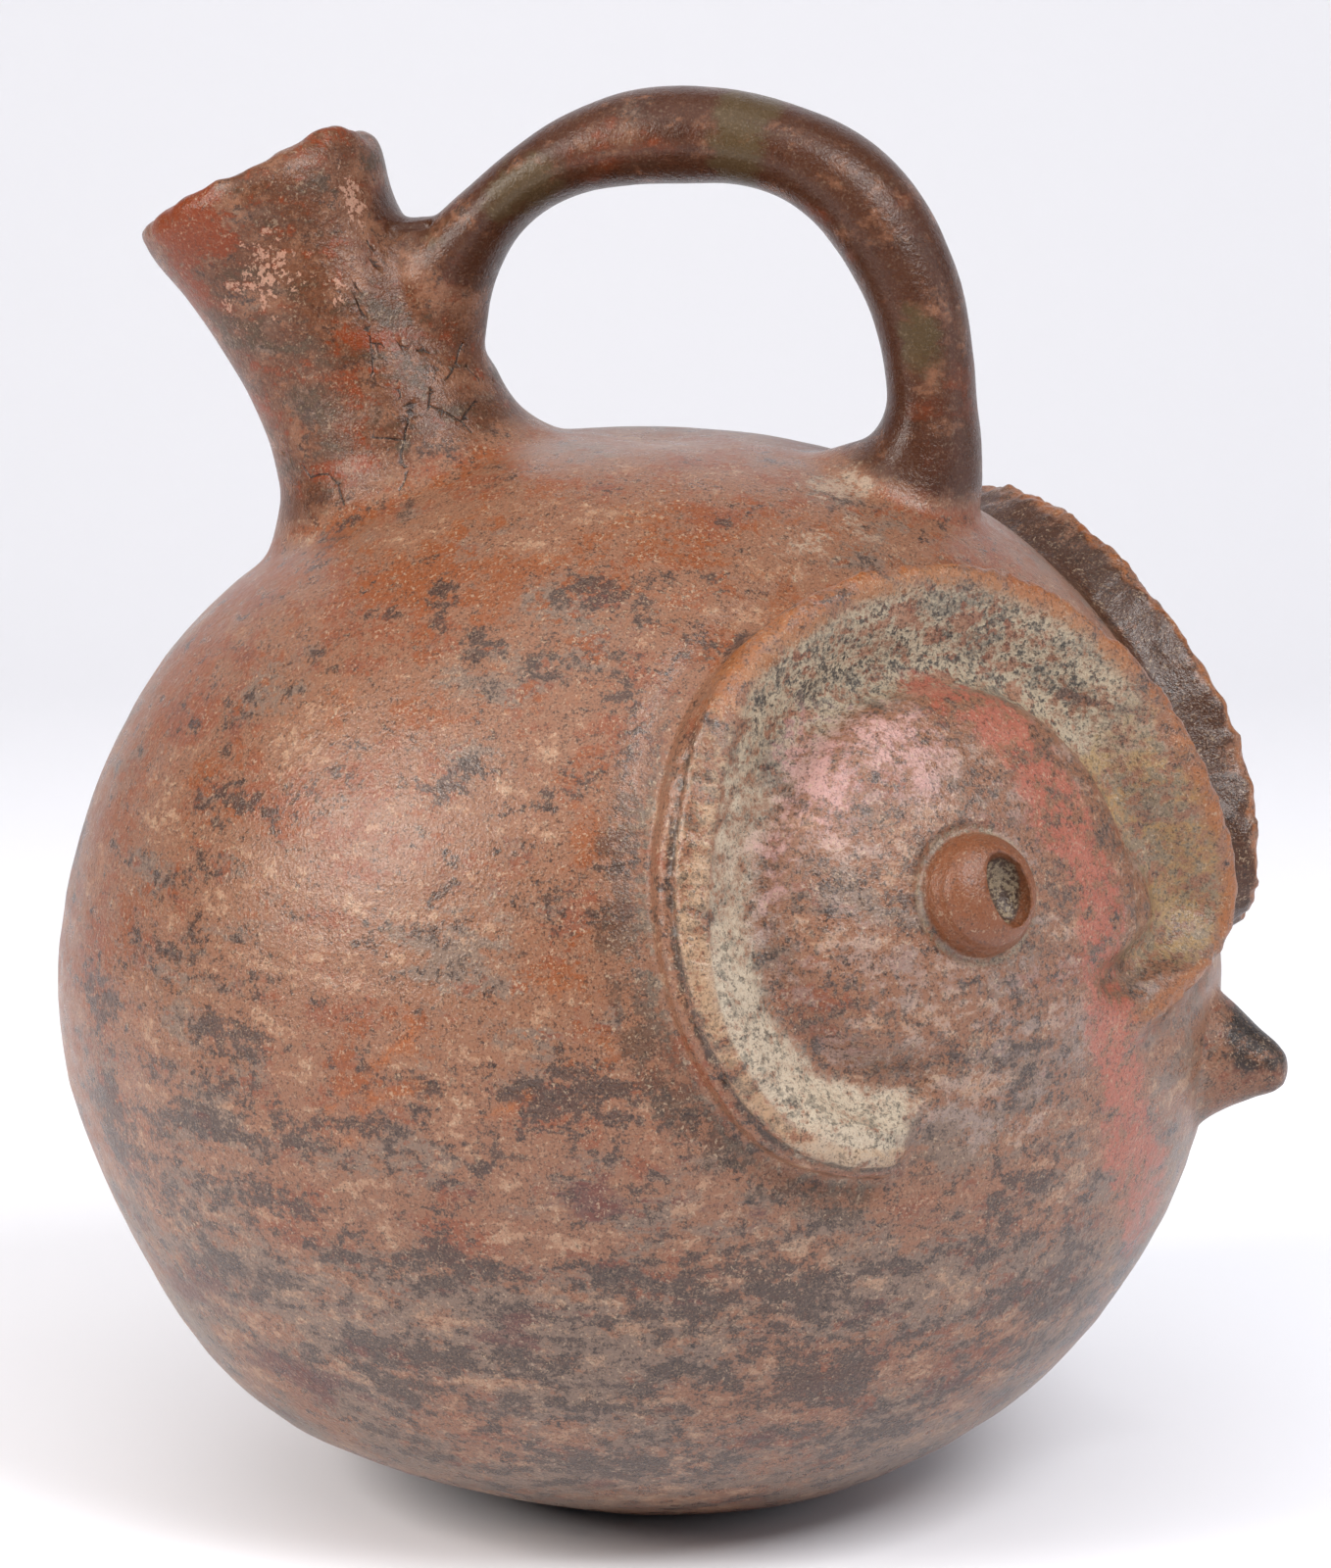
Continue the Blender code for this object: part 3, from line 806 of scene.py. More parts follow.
cavity_rings = []
for rise in np.linspace(-math.pi / 2, math.pi / 2, CAVITY_RINGS + 1)[1:-1]:
    turns = rounding(CAVITY_SIDES)
    level = np.full(CAVITY_SIDES, math.sin(rise))
    flat = math.cos(rise)
    directions = np.stack([np.cos(turns) * flat, np.sin(turns) * flat, level], axis=1)
    cavity_rings.append(BODY_CENTRE + directions * cavity_radius(directions)[:, None])
cavity = lofted("cavity", cavity_rings)
bore_levels = np.linspace(-BORE_LEAD_OUT, SPOUT_STATIONS[-1][0], BORE_RINGS)
bore = lofted("bore", [spout_ring(level, SPOUT_WALL, BORE_SIDES) for level in bore_levels])

for cutter in (cavity, bore, pupil(-1), pupil(1)):
    step = jar.modifiers.new("cut_" + cutter.name, "BOOLEAN")
    step.operation = "DIFFERENCE"
    step.solver = "MANIFOLD"
    step.object = cutter
    settled(jar)
    bpy.data.objects.remove(cutter)

# Drying cracks
# Fine cracks that opened where spout, handle foot and shoulder dried at different
# speeds. Each is a run of places given as distance below the mouth and degrees round.
CRACKS = [
    [(18.9, -143), (21.4, -142), (23.8, -139)],
    [(23.7, -131), (24.8, -125), (27.7, -122), (32.4, -121), (33.7, -119), (38.1, -112)],
    [(33.3, -120), (35.6, -132), (38.8, -145)],
    [(39.6, -163), (41.4, -156), (43.5, -145)],
    [(42.8, -159), (45.6, -164), (47.3, -180)],
    [(40.6, -122), (43.3, -119), (44.8, -122), (48.9, -112), (50.8, -108), (54.1, -105), (55.5, -102)],
    [(46.1, -98), (48.7, -111)],
    [(43.5, -134), (45.9, -129), (48.5, -136), (50.3, -140), (52.3, -141)],
    [(48.0, -154), (50.2, -140)],
    [(42.2, -43), (45.2, -57), (47.7, -62), (48.4, -73), (50.8, -77), (53.6, -78)],
]
CRACK_WANDER = 0.3
CRACK_WANDER_SIZE = 2.2
CRACK_HALF = 0.13
CRACK_DEPTH = 0.3
CRACK_FINE_WITHIN = 0.95
CRACK_SPLITS = 3
SLIVER = 0.01
SPOUT_MEAN_RADIUS = 19.0
BORE_WITHIN = 14.5
CRACKED_BEHIND = 15


def from_cracks(points):
    """Distance of each point from the nearest crack along the spout's skin."""
    below, turn, out = places_on_spout(points)
    wander = np.stack([lattice_noise(points, CRACK_WANDER_SIZE, seed) for seed in (41, 42)], axis=1)
    flat = np.stack([below, turn * SPOUT_MEAN_RADIUS], axis=1) + CRACK_WANDER * wander
    runs = [[(low, math.radians(angle) * SPOUT_MEAN_RADIUS) for low, angle in run] for run in CRACKS]
    outside = (out > BORE_WITHIN) & (points[:, 1] > CRACKED_BEHIND) & (points[:, 0] < 0)
    return np.where(outside, from_runs(flat, runs), NOWHERE_NEAR)


for _ in range(CRACK_SPLITS):
    close = from_cracks(points_of(jar.data) / MM) < CRACK_FINE_WITHIN
    fine = bmesh.new()
    fine.from_mesh(jar.data)
    edges = [edge for edge in fine.edges if close[edge.verts[0].index] and close[edge.verts[1].index]]
    bmesh.ops.subdivide_edges(fine, edges=edges, cuts=1)
    bmesh.ops.triangulate(fine, faces=[face for face in fine.faces if len(face.verts) > 3])
    fine.to_mesh(jar.data)
    fine.free()

# Slivers that the splitting left without any width are melted into their neighbours
melted = bmesh.new()
melted.from_mesh(jar.data)
bmesh.ops.dissolve_degenerate(melted, dist=SLIVER * MM, edges=melted.edges)
bmesh.ops.triangulate(melted, faces=[face for face in melted.faces if len(face.verts) > 3])
bmesh.ops.dissolve_degenerate(melted, dist=SLIVER * MM, edges=melted.edges)
melted.to_mesh(jar.data)
melted.free()

points = points_of(jar.data) / MM
crack = bump(from_cracks(points), CRACK_HALF)
points -= points_of(jar.data, "normal") * (CRACK_DEPTH * crack)[:, None]
jar.data.vertices.foreach_set("co", (points * MM).ravel())
jar.data.polygons.foreach_set("use_smooth", np.ones(len(jar.data.polygons), bool))

# Colours of firing, paint and burial, with painted shade and painted sheen
# Kiln smoke, worn paint on the face and earth in the hollows lie in soft patches, with
# painted shade in the far brow's channel, along the ring's foot and in the pupils, and
# painted sheen on the near mound and by the spout's lip.
# Each is stored on the skin as a strength from 0 to 1 that the slip's material reads.
# A patch is its turn and rise in degrees from the body centre, half sizes, strength.
SMOKE = [
    (138, -9, 9, 4, 1.0),
    (124, -5, 8, 3.5, 0.9),
    (119, 3, 6, 2.5, 1.0),
    (110, -5, 8, 3, 0.8),
    (131, -16, 10, 3, 0.7),
    (117, -13, 9, 2.5, 0.7),
    (97, 1, 6, 3, 1.0),
    (88, 0, 6, 2.5, 1.0),
    (79, -1, 7, 2.5, 1.0),
    (92, -5, 5, 3, 0.8),
    (125, 22, 6, 4, 0.8),
    (124, 9, 9, 3, 0.7),
    (101, 15, 9, 3, 0.6),
    (87, 27, 5, 2.5, 0.8),
    (85, 19, 4, 2.5, 0.6),
    (80, 38, 6, 3, 0.8),
    (95, 42, 9, 3, 0.7),
    (112, 45, 9, 3, 0.3),
    (82.6, 1.5, 4, 2.8, 1.2),
    (152, 53, 9, 4, 0.9),
    (64, -17, 10, 4, 0.9),
    (75, -22, 14, 3, 0.8),
    (92, -28, 18, 2.5, 0.7),
    (110, -32, 16, 3, 0.7),
    (60, -30, 14, 4, 0.8),
    (80, -42, 24, 4, 0.7),
    (42, 3, 6, 5, 0.9),
    (36, -12, 7, 6, 0.8),
    (25, -28, 14, 6, 0.6),
    (160, 10, 12, 5, 0.7),
    (175, -12, 14, 5, 0.8),
    (-150, 4, 14, 6, 0.8),
    (-120, -10, 18, 5, 0.9),
    (-95, 12, 12, 5, 0.6),
    (-75, -18, 16, 6, 0.8),
    (-35, -14, 12, 6, 0.6),
    (-130, 35, 14, 5, 0.5),
    (112, 30, 5, 3, 0.8),
    (98, 28, 6, 2.5, 0.7),
    (80, 50, 14, 2.5, 0.7),
    (70, 44, 12, 3, 0.7),
    (118, -22, 12, 2.5, 0.8),
    (98, -17, 14, 2.5, 0.7),
    (82, -33, 20, 2.5, 0.7),
    (45, -40, 20, 4, 0.6),
    (68, 6, 3, 10, 0.6),
    (140, 2, 7, 3, 0.8),
]
EMBER = [
    (83, 26, 5, 11, 1.0),
    (84, 8, 6, 7, 0.8),
    (101, 2.8, 6, 5, 1.2),
    (142, 16, 8, 14, 0.8),
    (135, 36, 16, 9, 0.8),
    (110, 52, 34, 9, 1.0),
    (75, 60, 44, 9, 0.8),
    (100, 36, 24, 6, 0.8),
    (150, 52, 26, 12, 1.0),
    (128, -2, 10, 3, 0.5),
    (128, 24, 24, 12, 0.7),
    (150, 28, 22, 20, 0.8),
    (150, -4, 22, 20, 0.6),
    (-100, 50, 50, 12, 0.9),
    (-140, 20, 25, 12, 0.6),
    (-60, -5, 20, 10, 0.4),
]
CRIMSON = [
    (134, -26, 11, 4, 1.0),
    (122, -34, 14, 4, 0.9),
    (100, -24, 16, 3, 0.7),
    (84, -10, 10, 3.5, 0.8),
    (70, -11, 8, 3, 0.7),
    (118, 30, 8, 5, 0.5),
    (150, -20, 12, 4, 0.6),
    (-110, -28, 20, 4, 0.7),
    (-150, -15, 16, 4, 0.5),
    (61, 14, 4, 9, 0.8),
    (53, 5, 8, 3, 0.5),
]
# Pink slip on the mounds, made paler and stronger as a painted sheen where the near mound catches the light
PINK_AND_PAINTED_SHEEN = [
    (59, 29, 6, 7, 1.0),
    (51, 31, 9, 6, 0.8),
    (65, 22, 4, 7, 0.8),
    (-59, 29, 7, 7, 0.7),
]
DUST = [
    (26, 65, 18, 4.5, 1.1),
    (50, 57, 12, 4, 0.8),
    (34, 58, 8, 4, 0.8),
    (-28, 64, 12, 6, 0.8),
    (62, -4, 4, 3, 1.0),
    (72, 50, 12, 3, 0.5),
    (0, 18, 7, 26, 0.6),
]
# The red band painted down beside the eye, and fine scratches, as turns and rises
PAINT_BAND = [
    (40, 36),
    (36.5, 34.3),
    (33.7, 27.8),
    (31.5, 20.8),
    (29, 11.4),
    (26.9, 0.9),
    (23.7, -8.5),
    (13.5, -21),
]
PAINT_BAND_LEVEL = 2.0
PAINT_BAND_FADE = 2.6
PAINT_BAND_RAGGED = 2.2
PAINT_BAND_FAR = 0.8
SCRATCHES = [
    [(103.5, 1.0), (99.5, 4.2), (98.5, 6.0)],
    [(104.5, -2.5), (101.0, -0.2), (97.5, 0.2)],
    [(107.5, -2.6), (104.0, 0.6)],
    [(107.0, -6.0), (104.5, -4.6)],
    [(99.5, 7.4), (98.9, 1.0)],
    [(92.0, -2.6), (87.5, 0.6)],
]
SCRATCH_HALF = 0.6
# On the spout: degrees round from its back, distance below the mouth, half sizes, strength
SPOUT_EMBER = [
    (-62, 3, 30, 9, 1.0),
    (-50, 14, 26, 8, 0.7),
    (-118, 33, 26, 7, 0.7),
    (-85, 48, 30, 6, 0.6),
    (80, 8, 60, 12, 0.9),
]
SPOUT_SMOKE = [
    (-130, 7, 9, 5, 0.9),
    (-150, 22, 8, 4, 0.5),
    (-92, 30, 14, 8, 0.6),
    (-75, 42, 16, 8, 0.6),
    (-66, 55, 22, 8, 1.1),
    (150, 20, 30, 14, 0.7),
]
# Pale patches where the slip has flaked off, and a pale patch near the lip that is painted sheen
SPOUT_FLAKED_AND_SHEEN = [
    (-95, 17, 28, 8, 1.0),
    (-114, 24, 14, 5, 1.0),
    (-60, 18, 18, 7, 0.8),
    (-146, 14, 10, 9, 1.3),
    (110, 16, 30, 8, 0.7),
]
# On the handle: distance along it, outward from its middle, half sizes, strength
HANDLE_OLIVE = [
    (81, 0, 5.2, 30, 1.0),
    (46, -1, 9, 6, 0.9),
    (124, 1, 7, 4, 0.9),
    (42, -2, 10, 3, 0.6),
    (30, 3, 8, 3, 0.5),
]
HANDLE_RED = [
    (60, 0, 17, 5, 0.9),
    (133, 2, 10, 5, 0.7),
    (98, -5, 14, 2.5, 0.6),
    (27, -2, 10, 4, 0.5),
]
OLIVE_RAGGED = 0.3
# Strength and size of the noise that pushes the patches' edges about
RAGGED = ((0.4, 9.0), (0.25, 4.0))
# Where a region begins or ends and over what width it fades: millimetres, or degrees
# for the glow of the upper body and the grey of the lower
DISC_INSIDE = (-1, 3)
DISC_REACH = (27, 8)
RIM_RAISED = (0, 2.0)
OFF_BODY = (-1, 7)
HANDLE_FROM = (20, 10)
HANDLE_WITHIN = (14, 5)
SPOUT_BEHIND = 10
UPPER_GLOW_ABOVE = (24, 26)
UPPER_GLOW = 0.6
LOWER_BELOW = (-8, 30)
# Cream paint on the cheek ring. A place round the disc is where it starts, its fade,
# where it ends and its fade; a place across the rim is its middle, level part, fade.
CREAM_ROUND = (130, 30, 238, 8)
CREAM_LOW_END = (165, 35)
CREAM_INNER = (-13.5, 5)
CREAM_NARROWS = 2.5
CREAM_RAGGED = (0.5, 2.5)
CREAM_LEAST = 0.55
CREAM_STUB = (232, 9, -1, 2.5, 1.5)
# Dirt and painted shade along the rim's foot, and a painted shadow past the ring's blunt end
DIRT_AND_SHADE_ACROSS = (9.5, 2, 2.5)
DIRT_AND_SHADE_RAGGED = 2
DIRT_AND_SHADE_LEAST = 0.45
PAINTED_SHADOW_PAST_END = (250, 7, 1, 3, 2.5)
PAINTED_SHADOW_PAST_END_MOST = 0.9
# Grey crust and ochre in the dish
CRUST_ROUND = (10, 40, 125, 45)
OCHRE_ROUND = (-35, 20, 20, 30)
CRUST_ACROSS = (-8, 4, 3.5)
CRUST_RAGGED = 3
# Painted shade, dark brown, in the far brow's channel where the brow leans over, worn brow tops, dust in the
# rim's groove
PAINTED_SHADE_FROM = (1.0, 1.5)
PAINTED_SHADE_ENDS = (-15, 7)
PAINTED_SHADE_ENDS_ROUND = (110, 40)
BROW_TOP_ACROSS = (0.5, 2, 1.5)
GROOVE_ACROSS = (6.6, 2.0)
GROOVE_DUST = (0.3, 0.5)
SEAM_HALF = 0.8
# Soot on the beak, strongest on its tip
SOOT_BEFORE = (88.5, 4)
SOOT_RAGGED = 2.5
SOOT_WIDE = 12
SOOT_BELOW = 95
SOOT_ABOVE = (70, 5)
SOOT_LEAST = 0.35
# The pellets' own slip, the dust round their feet, and the painted shade in their pupils
PELLET_EDGE = (-0.4, 1.0)
PELLET_LIFT = 8
EYE_DUST_ACROSS = (0.8, 0.9)
EYE_DUST_LIFT = 4
EYE_DUST_MOST = 0.8
PUPIL_EDGE = (0.75, 0.2)
PUPIL_LIFT = 5.2
# Bare clay within: how far into the wall it still counts, and where the bore lies
INSIDE_MARGIN = 1.5
BARE_BORE = 16.3
BARE_BEHIND = 38
BARE_BELOW = 1.5


def patches(around, up, table, ragged):
    """Strength of the soft patches of one table, their edges pushed about by the ragged noise."""
    total = np.zeros(len(around))
    for at_around, at_up, half_around, half_up, most in table:
        off_around = (around - at_around + 180) % 360 - 180
        far = np.hypot(off_around / half_around, (up - at_up) / half_up)
        total = np.maximum(total, most * np.exp(-(np.maximum(far + ragged, 0) ** 2)))
    return total


def flattened(runs):
    """Runs of turns and rises, laid flat with each turn narrowed toward the top."""
    return [[(turn * math.cos(math.radians(rise)), rise) for turn, rise in run] for run in runs]


def painted(flat):
    """How surely each place lies on the painted band."""
    away = from_runs(flat, flattened([PAINT_BAND])) + PAINT_BAND_RAGGED * ragged
    return bump(np.maximum(away - PAINT_BAND_LEVEL, 0), PAINT_BAND_FADE)


directions, on_body = places_on_body(points)
turn = np.degrees(np.arctan2(-directions[:, 0], -directions[:, 1]))
rise = np.degrees(np.arcsin(np.clip(directions[:, 2], -1, 1)))
flat = np.stack([turn * np.cos(np.radians(rise)), rise], axis=1)
reach, around, from_middle, height, low = disc_places(directions)
in_disc = 1 - fades_in(from_middle, *DISC_INSIDE)
in_disc *= on_body * (1 - fades_in(reach, *DISC_REACH))
on_rim = on_body * fades_in(height, *RIM_RAISED)
below, spout_turn, spout_out = places_on_spout(points)
spout_turn = np.degrees(spout_turn)
along, handle_out, handle_far = places_on_handle(points)
from_centre = np.linalg.norm(points - BODY_CENTRE, axis=1)
off_body = fades_in(from_centre - skin_radius(directions), *OFF_BODY)
on_handle = off_body * fades_in(along, *HANDLE_FROM) * (1 - fades_in(handle_far, *HANDLE_WITHIN))
on_spout = off_body * (points[:, 1] > SPOUT_BEHIND) * (1 - on_handle)
ragged = sum(push * lattice_noise(points, size, 51 + i) for i, (push, size) in enumerate(RAGGED))

strength = {"spout": on_spout, "handle": on_handle, "disc": in_disc}
glow = UPPER_GLOW * on_body * fades_in(rise, *UPPER_GLOW_ABOVE) * (1 - in_disc)
ember = np.maximum(glow, on_body * patches(turn, rise, EMBER, ragged))
spout_ember = on_spout * patches(spout_turn, below, SPOUT_EMBER, ragged)
strength["ember"] = np.maximum(ember, spout_ember)
strength["lower"] = on_body * fades_in(-rise, *LOWER_BELOW)
smoke = on_body * patches(turn, rise, SMOKE, ragged)
spout_smoke = on_spout * patches(spout_turn, below, SPOUT_SMOKE, ragged)
strength["smoke"] = np.maximum(smoke, spout_smoke)
strength["flaked_and_painted_sheen"] = on_spout * patches(spout_turn, below, SPOUT_FLAKED_AND_SHEEN, ragged)
strength["olive"] = on_handle * patches(along, handle_out, HANDLE_OLIVE, OLIVE_RAGGED * ragged)
strength["russet"] = on_handle * patches(along, handle_out, HANDLE_RED, ragged)
strength["crimson"] = on_body * patches(turn, rise, CRIMSON, ragged)
strength["paint"] = on_body * np.maximum(painted(flat), PAINT_BAND_FAR * painted(flat * [-1, 1]))
strength["pink_and_painted_sheen"] = on_body * patches(turn, rise, PINK_AND_PAINTED_SHEEN, ragged)

low_end = fades_in(around, *CREAM_LOW_END)
outer_start = ring_band_start(around) - RING_BAND_EDGE / 2
cream = 1 - fades_in(from_middle + CREAM_RAGGED[0] * ragged, outer_start, RING_BAND_EDGE)
inner_start = CREAM_INNER[0] + CREAM_NARROWS * low_end
cream *= fades_in(from_middle + CREAM_RAGGED[1] * ragged, inner_start, CREAM_INNER[1])
cream *= between(around, *CREAM_ROUND) * (CREAM_LEAST + (1 - CREAM_LEAST) * low_end)
strength["cream"] = on_rim * np.maximum(cream, rim_patch(around, from_middle, CREAM_STUB))
# Dirt and painted shade along the ring's outer foot, and a painted shadow cast past its blunt end
across, level, fade = DIRT_AND_SHADE_ACROSS
dirt_and_painted_shade = on_rim * plateau(from_middle - across + DIRT_AND_SHADE_RAGGED * ragged, level, fade)
dirt_and_painted_shade *= DIRT_AND_SHADE_LEAST + (1 - DIRT_AND_SHADE_LEAST) * low
painted_shadow_past_end = PAINTED_SHADOW_PAST_END_MOST * on_body * rim_patch(around, from_middle, PAINTED_SHADOW_PAST_END)
strength["dirt_and_painted_shade"] = np.maximum(dirt_and_painted_shade, painted_shadow_past_end)
across, level, fade = CRUST_ACROSS
in_dish = on_rim * plateau(from_middle - across + CRUST_RAGGED * ragged, level, fade)
strength["crust"] = in_dish * between(around, *CRUST_ROUND)
strength["ochre"] = in_dish * between(around, *OCHRE_ROUND)
# Painted shade: dark brown laid on the back of the far brow, where its channel lies in shade
painted_shade = on_rim * (points[:, 0] > 0) * fades_in(from_middle, *PAINTED_SHADE_FROM)
painted_shade *= 1 - fades_in(around, *PAINTED_SHADE_ENDS_ROUND)
strength["painted_shade"] = painted_shade * fades_in(-from_middle, *PAINTED_SHADE_ENDS)
across, level, fade = BROW_TOP_ACROSS
strength["brow_top"] = on_rim * (1 - low) * plateau(from_middle - across, level, fade)
strength["ring"] = on_rim * low * ring_band(from_middle, around)
soot = fades_in(SOOT_RAGGED * ragged - points[:, 1], *SOOT_BEFORE)
soot *= (np.abs(points[:, 0]) < SOOT_WIDE) * (points[:, 2] < SOOT_BELOW)
strength["soot"] = soot * (SOOT_LEAST + (1 - SOOT_LEAST) * fades_in(points[:, 2], *SOOT_ABOVE))
groove = on_rim * bump(from_middle - GROOVE_ACROSS[0], GROOVE_ACROSS[1])
groove *= GROOVE_DUST[0] + GROOVE_DUST[1] * low
strength["dust"] = np.maximum(on_body * patches(turn, rise, DUST, ragged), groove)
strength["scratch"] = on_body * bump(from_runs(flat, flattened(SCRATCHES)), SCRATCH_HALF)
strength["seam"] = on_rim * low * bump(from_middle + RIM_SEAM_AT - RIM_MIDDLE[1], SEAM_HALF)

for name in ("pellet", "pupil", "eye_dust"):
    strength[name] = np.zeros(len(points))
for side in (-1, 1):
    seat, outward, sideways, upward = eye_frame(side)
    arm = points - seat
    sideward, lifted = arm @ sideways, arm @ outward
    edge = np.hypot(sideward, arm @ upward) - EYE_RADIUS
    pellet = (1 - fades_in(edge, *PELLET_EDGE)) * (np.abs(lifted) < PELLET_LIFT)
    foot = bump(edge - EYE_DUST_ACROSS[0], EYE_DUST_ACROSS[1]) * (np.abs(lifted) < EYE_DUST_LIFT)
    pupil_places = (sideward - PUPIL_OFFSET) / PUPIL_HALF_WIDTH, arm @ upward / PUPIL_HALF_HEIGHT
    pupil = 1 - fades_in(np.hypot(*pupil_places), *PUPIL_EDGE)
    pupil *= (lifted < PUPIL_LIFT) * (lifted > 0)
    for name, values in (("pellet", pellet), ("pupil", pupil), ("eye_dust", EYE_DUST_MOST * foot)):
        strength[name] = np.maximum(strength[name], values)
gap = bump(from_runs(points, HANDLE_SLOTS), HANDLE_SLOT_HALF)
strength["crack"] = np.maximum(crack, gap)
inside = from_centre < body_radius(directions) - BODY_WALL + INSIDE_MARGIN
in_bore = (spout_out < BARE_BORE) & (points[:, 1] > BARE_BEHIND) & (below > BARE_BELOW)
strength["inside"] = (inside | in_bore).astype(float)

for name, values in strength.items():
    layer = jar.data.attributes.new(name, "FLOAT", "POINT")
    layer.data.foreach_set("value", np.clip(values, 0, 1).astype(np.float32))

# Slip
# Burnished red slip ware: a thin wash of iron-rich clay, rubbed with a pebble before
# firing, so the eye finds a low sheen over patchy red, orange, buff and smoke grey,
# all broken by fine pale and dark grit and dulled by centuries in the ground.
MOTTLE_GAIN = 8.0
# What the places are multiplied by along each axis. More upward than sideways draws
# the mottling out level, round the body.
LAID = (1, 1, 1.6)
STREAKED = (1, 1, 2.5)
BRUSHED = (0.22, 0.22, 1)
BARE_WARE = "#7b543f"
CALMER = {"handle": -0.75, "pellet": -0.3, "spout": -0.35}
ROUGH = 0.3
ROUGHER = {
    "blotch": 0.04,
    "crust": 0.2,
    "cream": 0.2,
    "dust": 0.2,
    "inside": 0.3,
    "pellet": 0.08,
    "handle": -0.02,
}
# Relief too fine for the mesh, in millimetres, and how much more the crust has
FINE_RELIEF = {"grit": 0.018, "grain": 0.006, "stroke": 0.006, "fleck": 0.014, "blotch": 0.012}
CRUST_TOOTH = {"crust": 0.03, "cream": 0.03, "disc": 0.015}
SHINE = 0.4
LESS_SHINE = {"handle": -0.14, "spout": -0.12}
CLAY_IOR = 1.5


def linear(hex_colour):
    """The four linear values of an sRGB hex colour."""
    parts = [int(hex_colour[i : i + 2], 16) / 255 for i in (1, 3, 5)]
    return (*[c / 12.92 if c <= 0.04045 else ((c + 0.055) / 1.055) ** 2.4 for c in parts], 1.0)


def add(kind, sockets=None, **settings):
    """Adds a node to the slip, sets it, and fills its sockets with values or links."""
    node = tree.nodes.new(kind)
    for key, value in settings.items():
        setattr(node, key, value)
    for key, value in (sockets or {}).items():
        if isinstance(value, bpy.types.NodeSocket):
            tree.links.new(value, node.inputs[key])
        else:
            node.inputs[key].default_value = value
    return node


def stretched(places, by):
    """The places with each axis multiplied by its own number."""
    return add("ShaderNodeVectorMath", {0: places, 1: by}, operation="MULTIPLY").outputs[0]


def times(first, second, **settings):
    """The product of two values."""
    return add("ShaderNodeMath", {0: first, 1: second}, operation="MULTIPLY", **settings).outputs[0]


def weighed(value, weight, base):
    """The value times its weight, added to a base."""
    sockets = {0: value, 1: weight, 2: base}
    return add("ShaderNodeMath", sockets, operation="MULTIPLY_ADD").outputs[0]


def all_weighed(weights, base):
    """Every named mottling or mask times its weight, added to a base."""
    for name, weight in weights.items():
        base = weighed(signals[name], weight, base)
    return base


def eased(total, start, full, most):
    """How strongly a coat shows: nothing at its start, its greatest strength when full."""
    sockets = {"Value": total, "From Min": start, "From Max": full, "To Max": most}
    return add("ShaderNodeMapRange", sockets, interpolation_type="SMOOTHSTEP").outputs[0]


def coated(under, amount, colour):
    """The colour under a coat, with the coat over it."""
    sockets = {0: amount, 6: under, 7: linear(colour)}
    return add("ShaderNodeMix", sockets, data_type="RGBA").outputs[2]


slip = bpy.data.materials.new("burnished_red_slip_ware")
slip.use_nodes = True
tree = slip.node_tree
shader = tree.nodes["Principled BSDF"]
place = add("ShaderNodeTexCoord").outputs["Object"]
sockets = {0: place, "Scale": 1 / MM}
millimetres = add("ShaderNodeVectorMath", sockets, operation="SCALE").outputs[0]
laid = stretched(millimetres, LAID)
streaked = stretched(millimetres, STREAKED)
brushed = stretched(millimetres, BRUSHED)

# Size of each mottling in millimetres, detail, roughness, the places it follows
MOTTLES = {
    "broad": (24.0, 3.0, 0.55, laid),
    "cloud": (10.0, 4.0, 0.6, laid),
    "streak": (13.0, 5.0, 0.62, streaked),
    "blotch": (4.0, 4.0, 0.65, laid),
    "fleck": (1.5, 3.0, 0.7, millimetres),
    "grit": (0.8, 3.0, 0.7, millimetres),
    "grain": (0.34, 2.0, 0.6, millimetres),
    "pale_grit": (0.6, 2.0, 0.6, millimetres),
    "stroke": (0.9, 3.0, 0.6, brushed),
}
mottle = {}
for i, (name, (size, detail, rough, followed)) in enumerate(MOTTLES.items()):
    sockets = {0: followed, 1: (37.0 * i, 11.0 * i, 5.0 * i)}
    moved = add("ShaderNodeVectorMath", sockets, operation="ADD").outputs[0]
    sockets = {"Vector": moved, "Scale": 1 / size, "Detail": detail, "Roughness": rough}
    noise = add("ShaderNodeTexNoise", sockets).outputs["Fac"]
    mottle[name] = weighed(noise, MOTTLE_GAIN, -MOTTLE_GAIN / 2)
masks = {name: add("ShaderNodeAttribute", attribute_name=name).outputs["Fac"] for name in strength}
signals = {**masks, **mottle}

# The longer mixtures: how much each mottling and each mask counts toward a coat
GREYED = {"broad": 0.5, "streak": 0.7, "blotch": 0.45, "fleck": 0.3, "lower": 0.9}
FIRED = {"broad": -0.4, "streak": 0.4, "blotch": 0.6, "fleck": 0.35, "ember": 0.5}
SMOKED = {
    "streak": 0.6,
    "blotch": -0.6,
    "fleck": 0.4,
    "grit": 0.3,
    "smoke": 1.3,
    "lower": 0.4,
    "disc": -0.3,
}
BUFFED = {"streak": -0.6, "blotch": 0.5, "fleck": 0.5, "disc": 0.2, "ember": -0.3}
BLACKENED = {"cloud": 0.3, "blotch": 0.5, "fleck": 0.55, "grit": 0.2, "smoke": 0.6}
REDDENED = {
    "streak": 0.5,
    "cloud": -0.4,
    "blotch": 0.3,
    "crimson": 1.4,
    "lower": 0.35,
    "disc": -0.4,
}

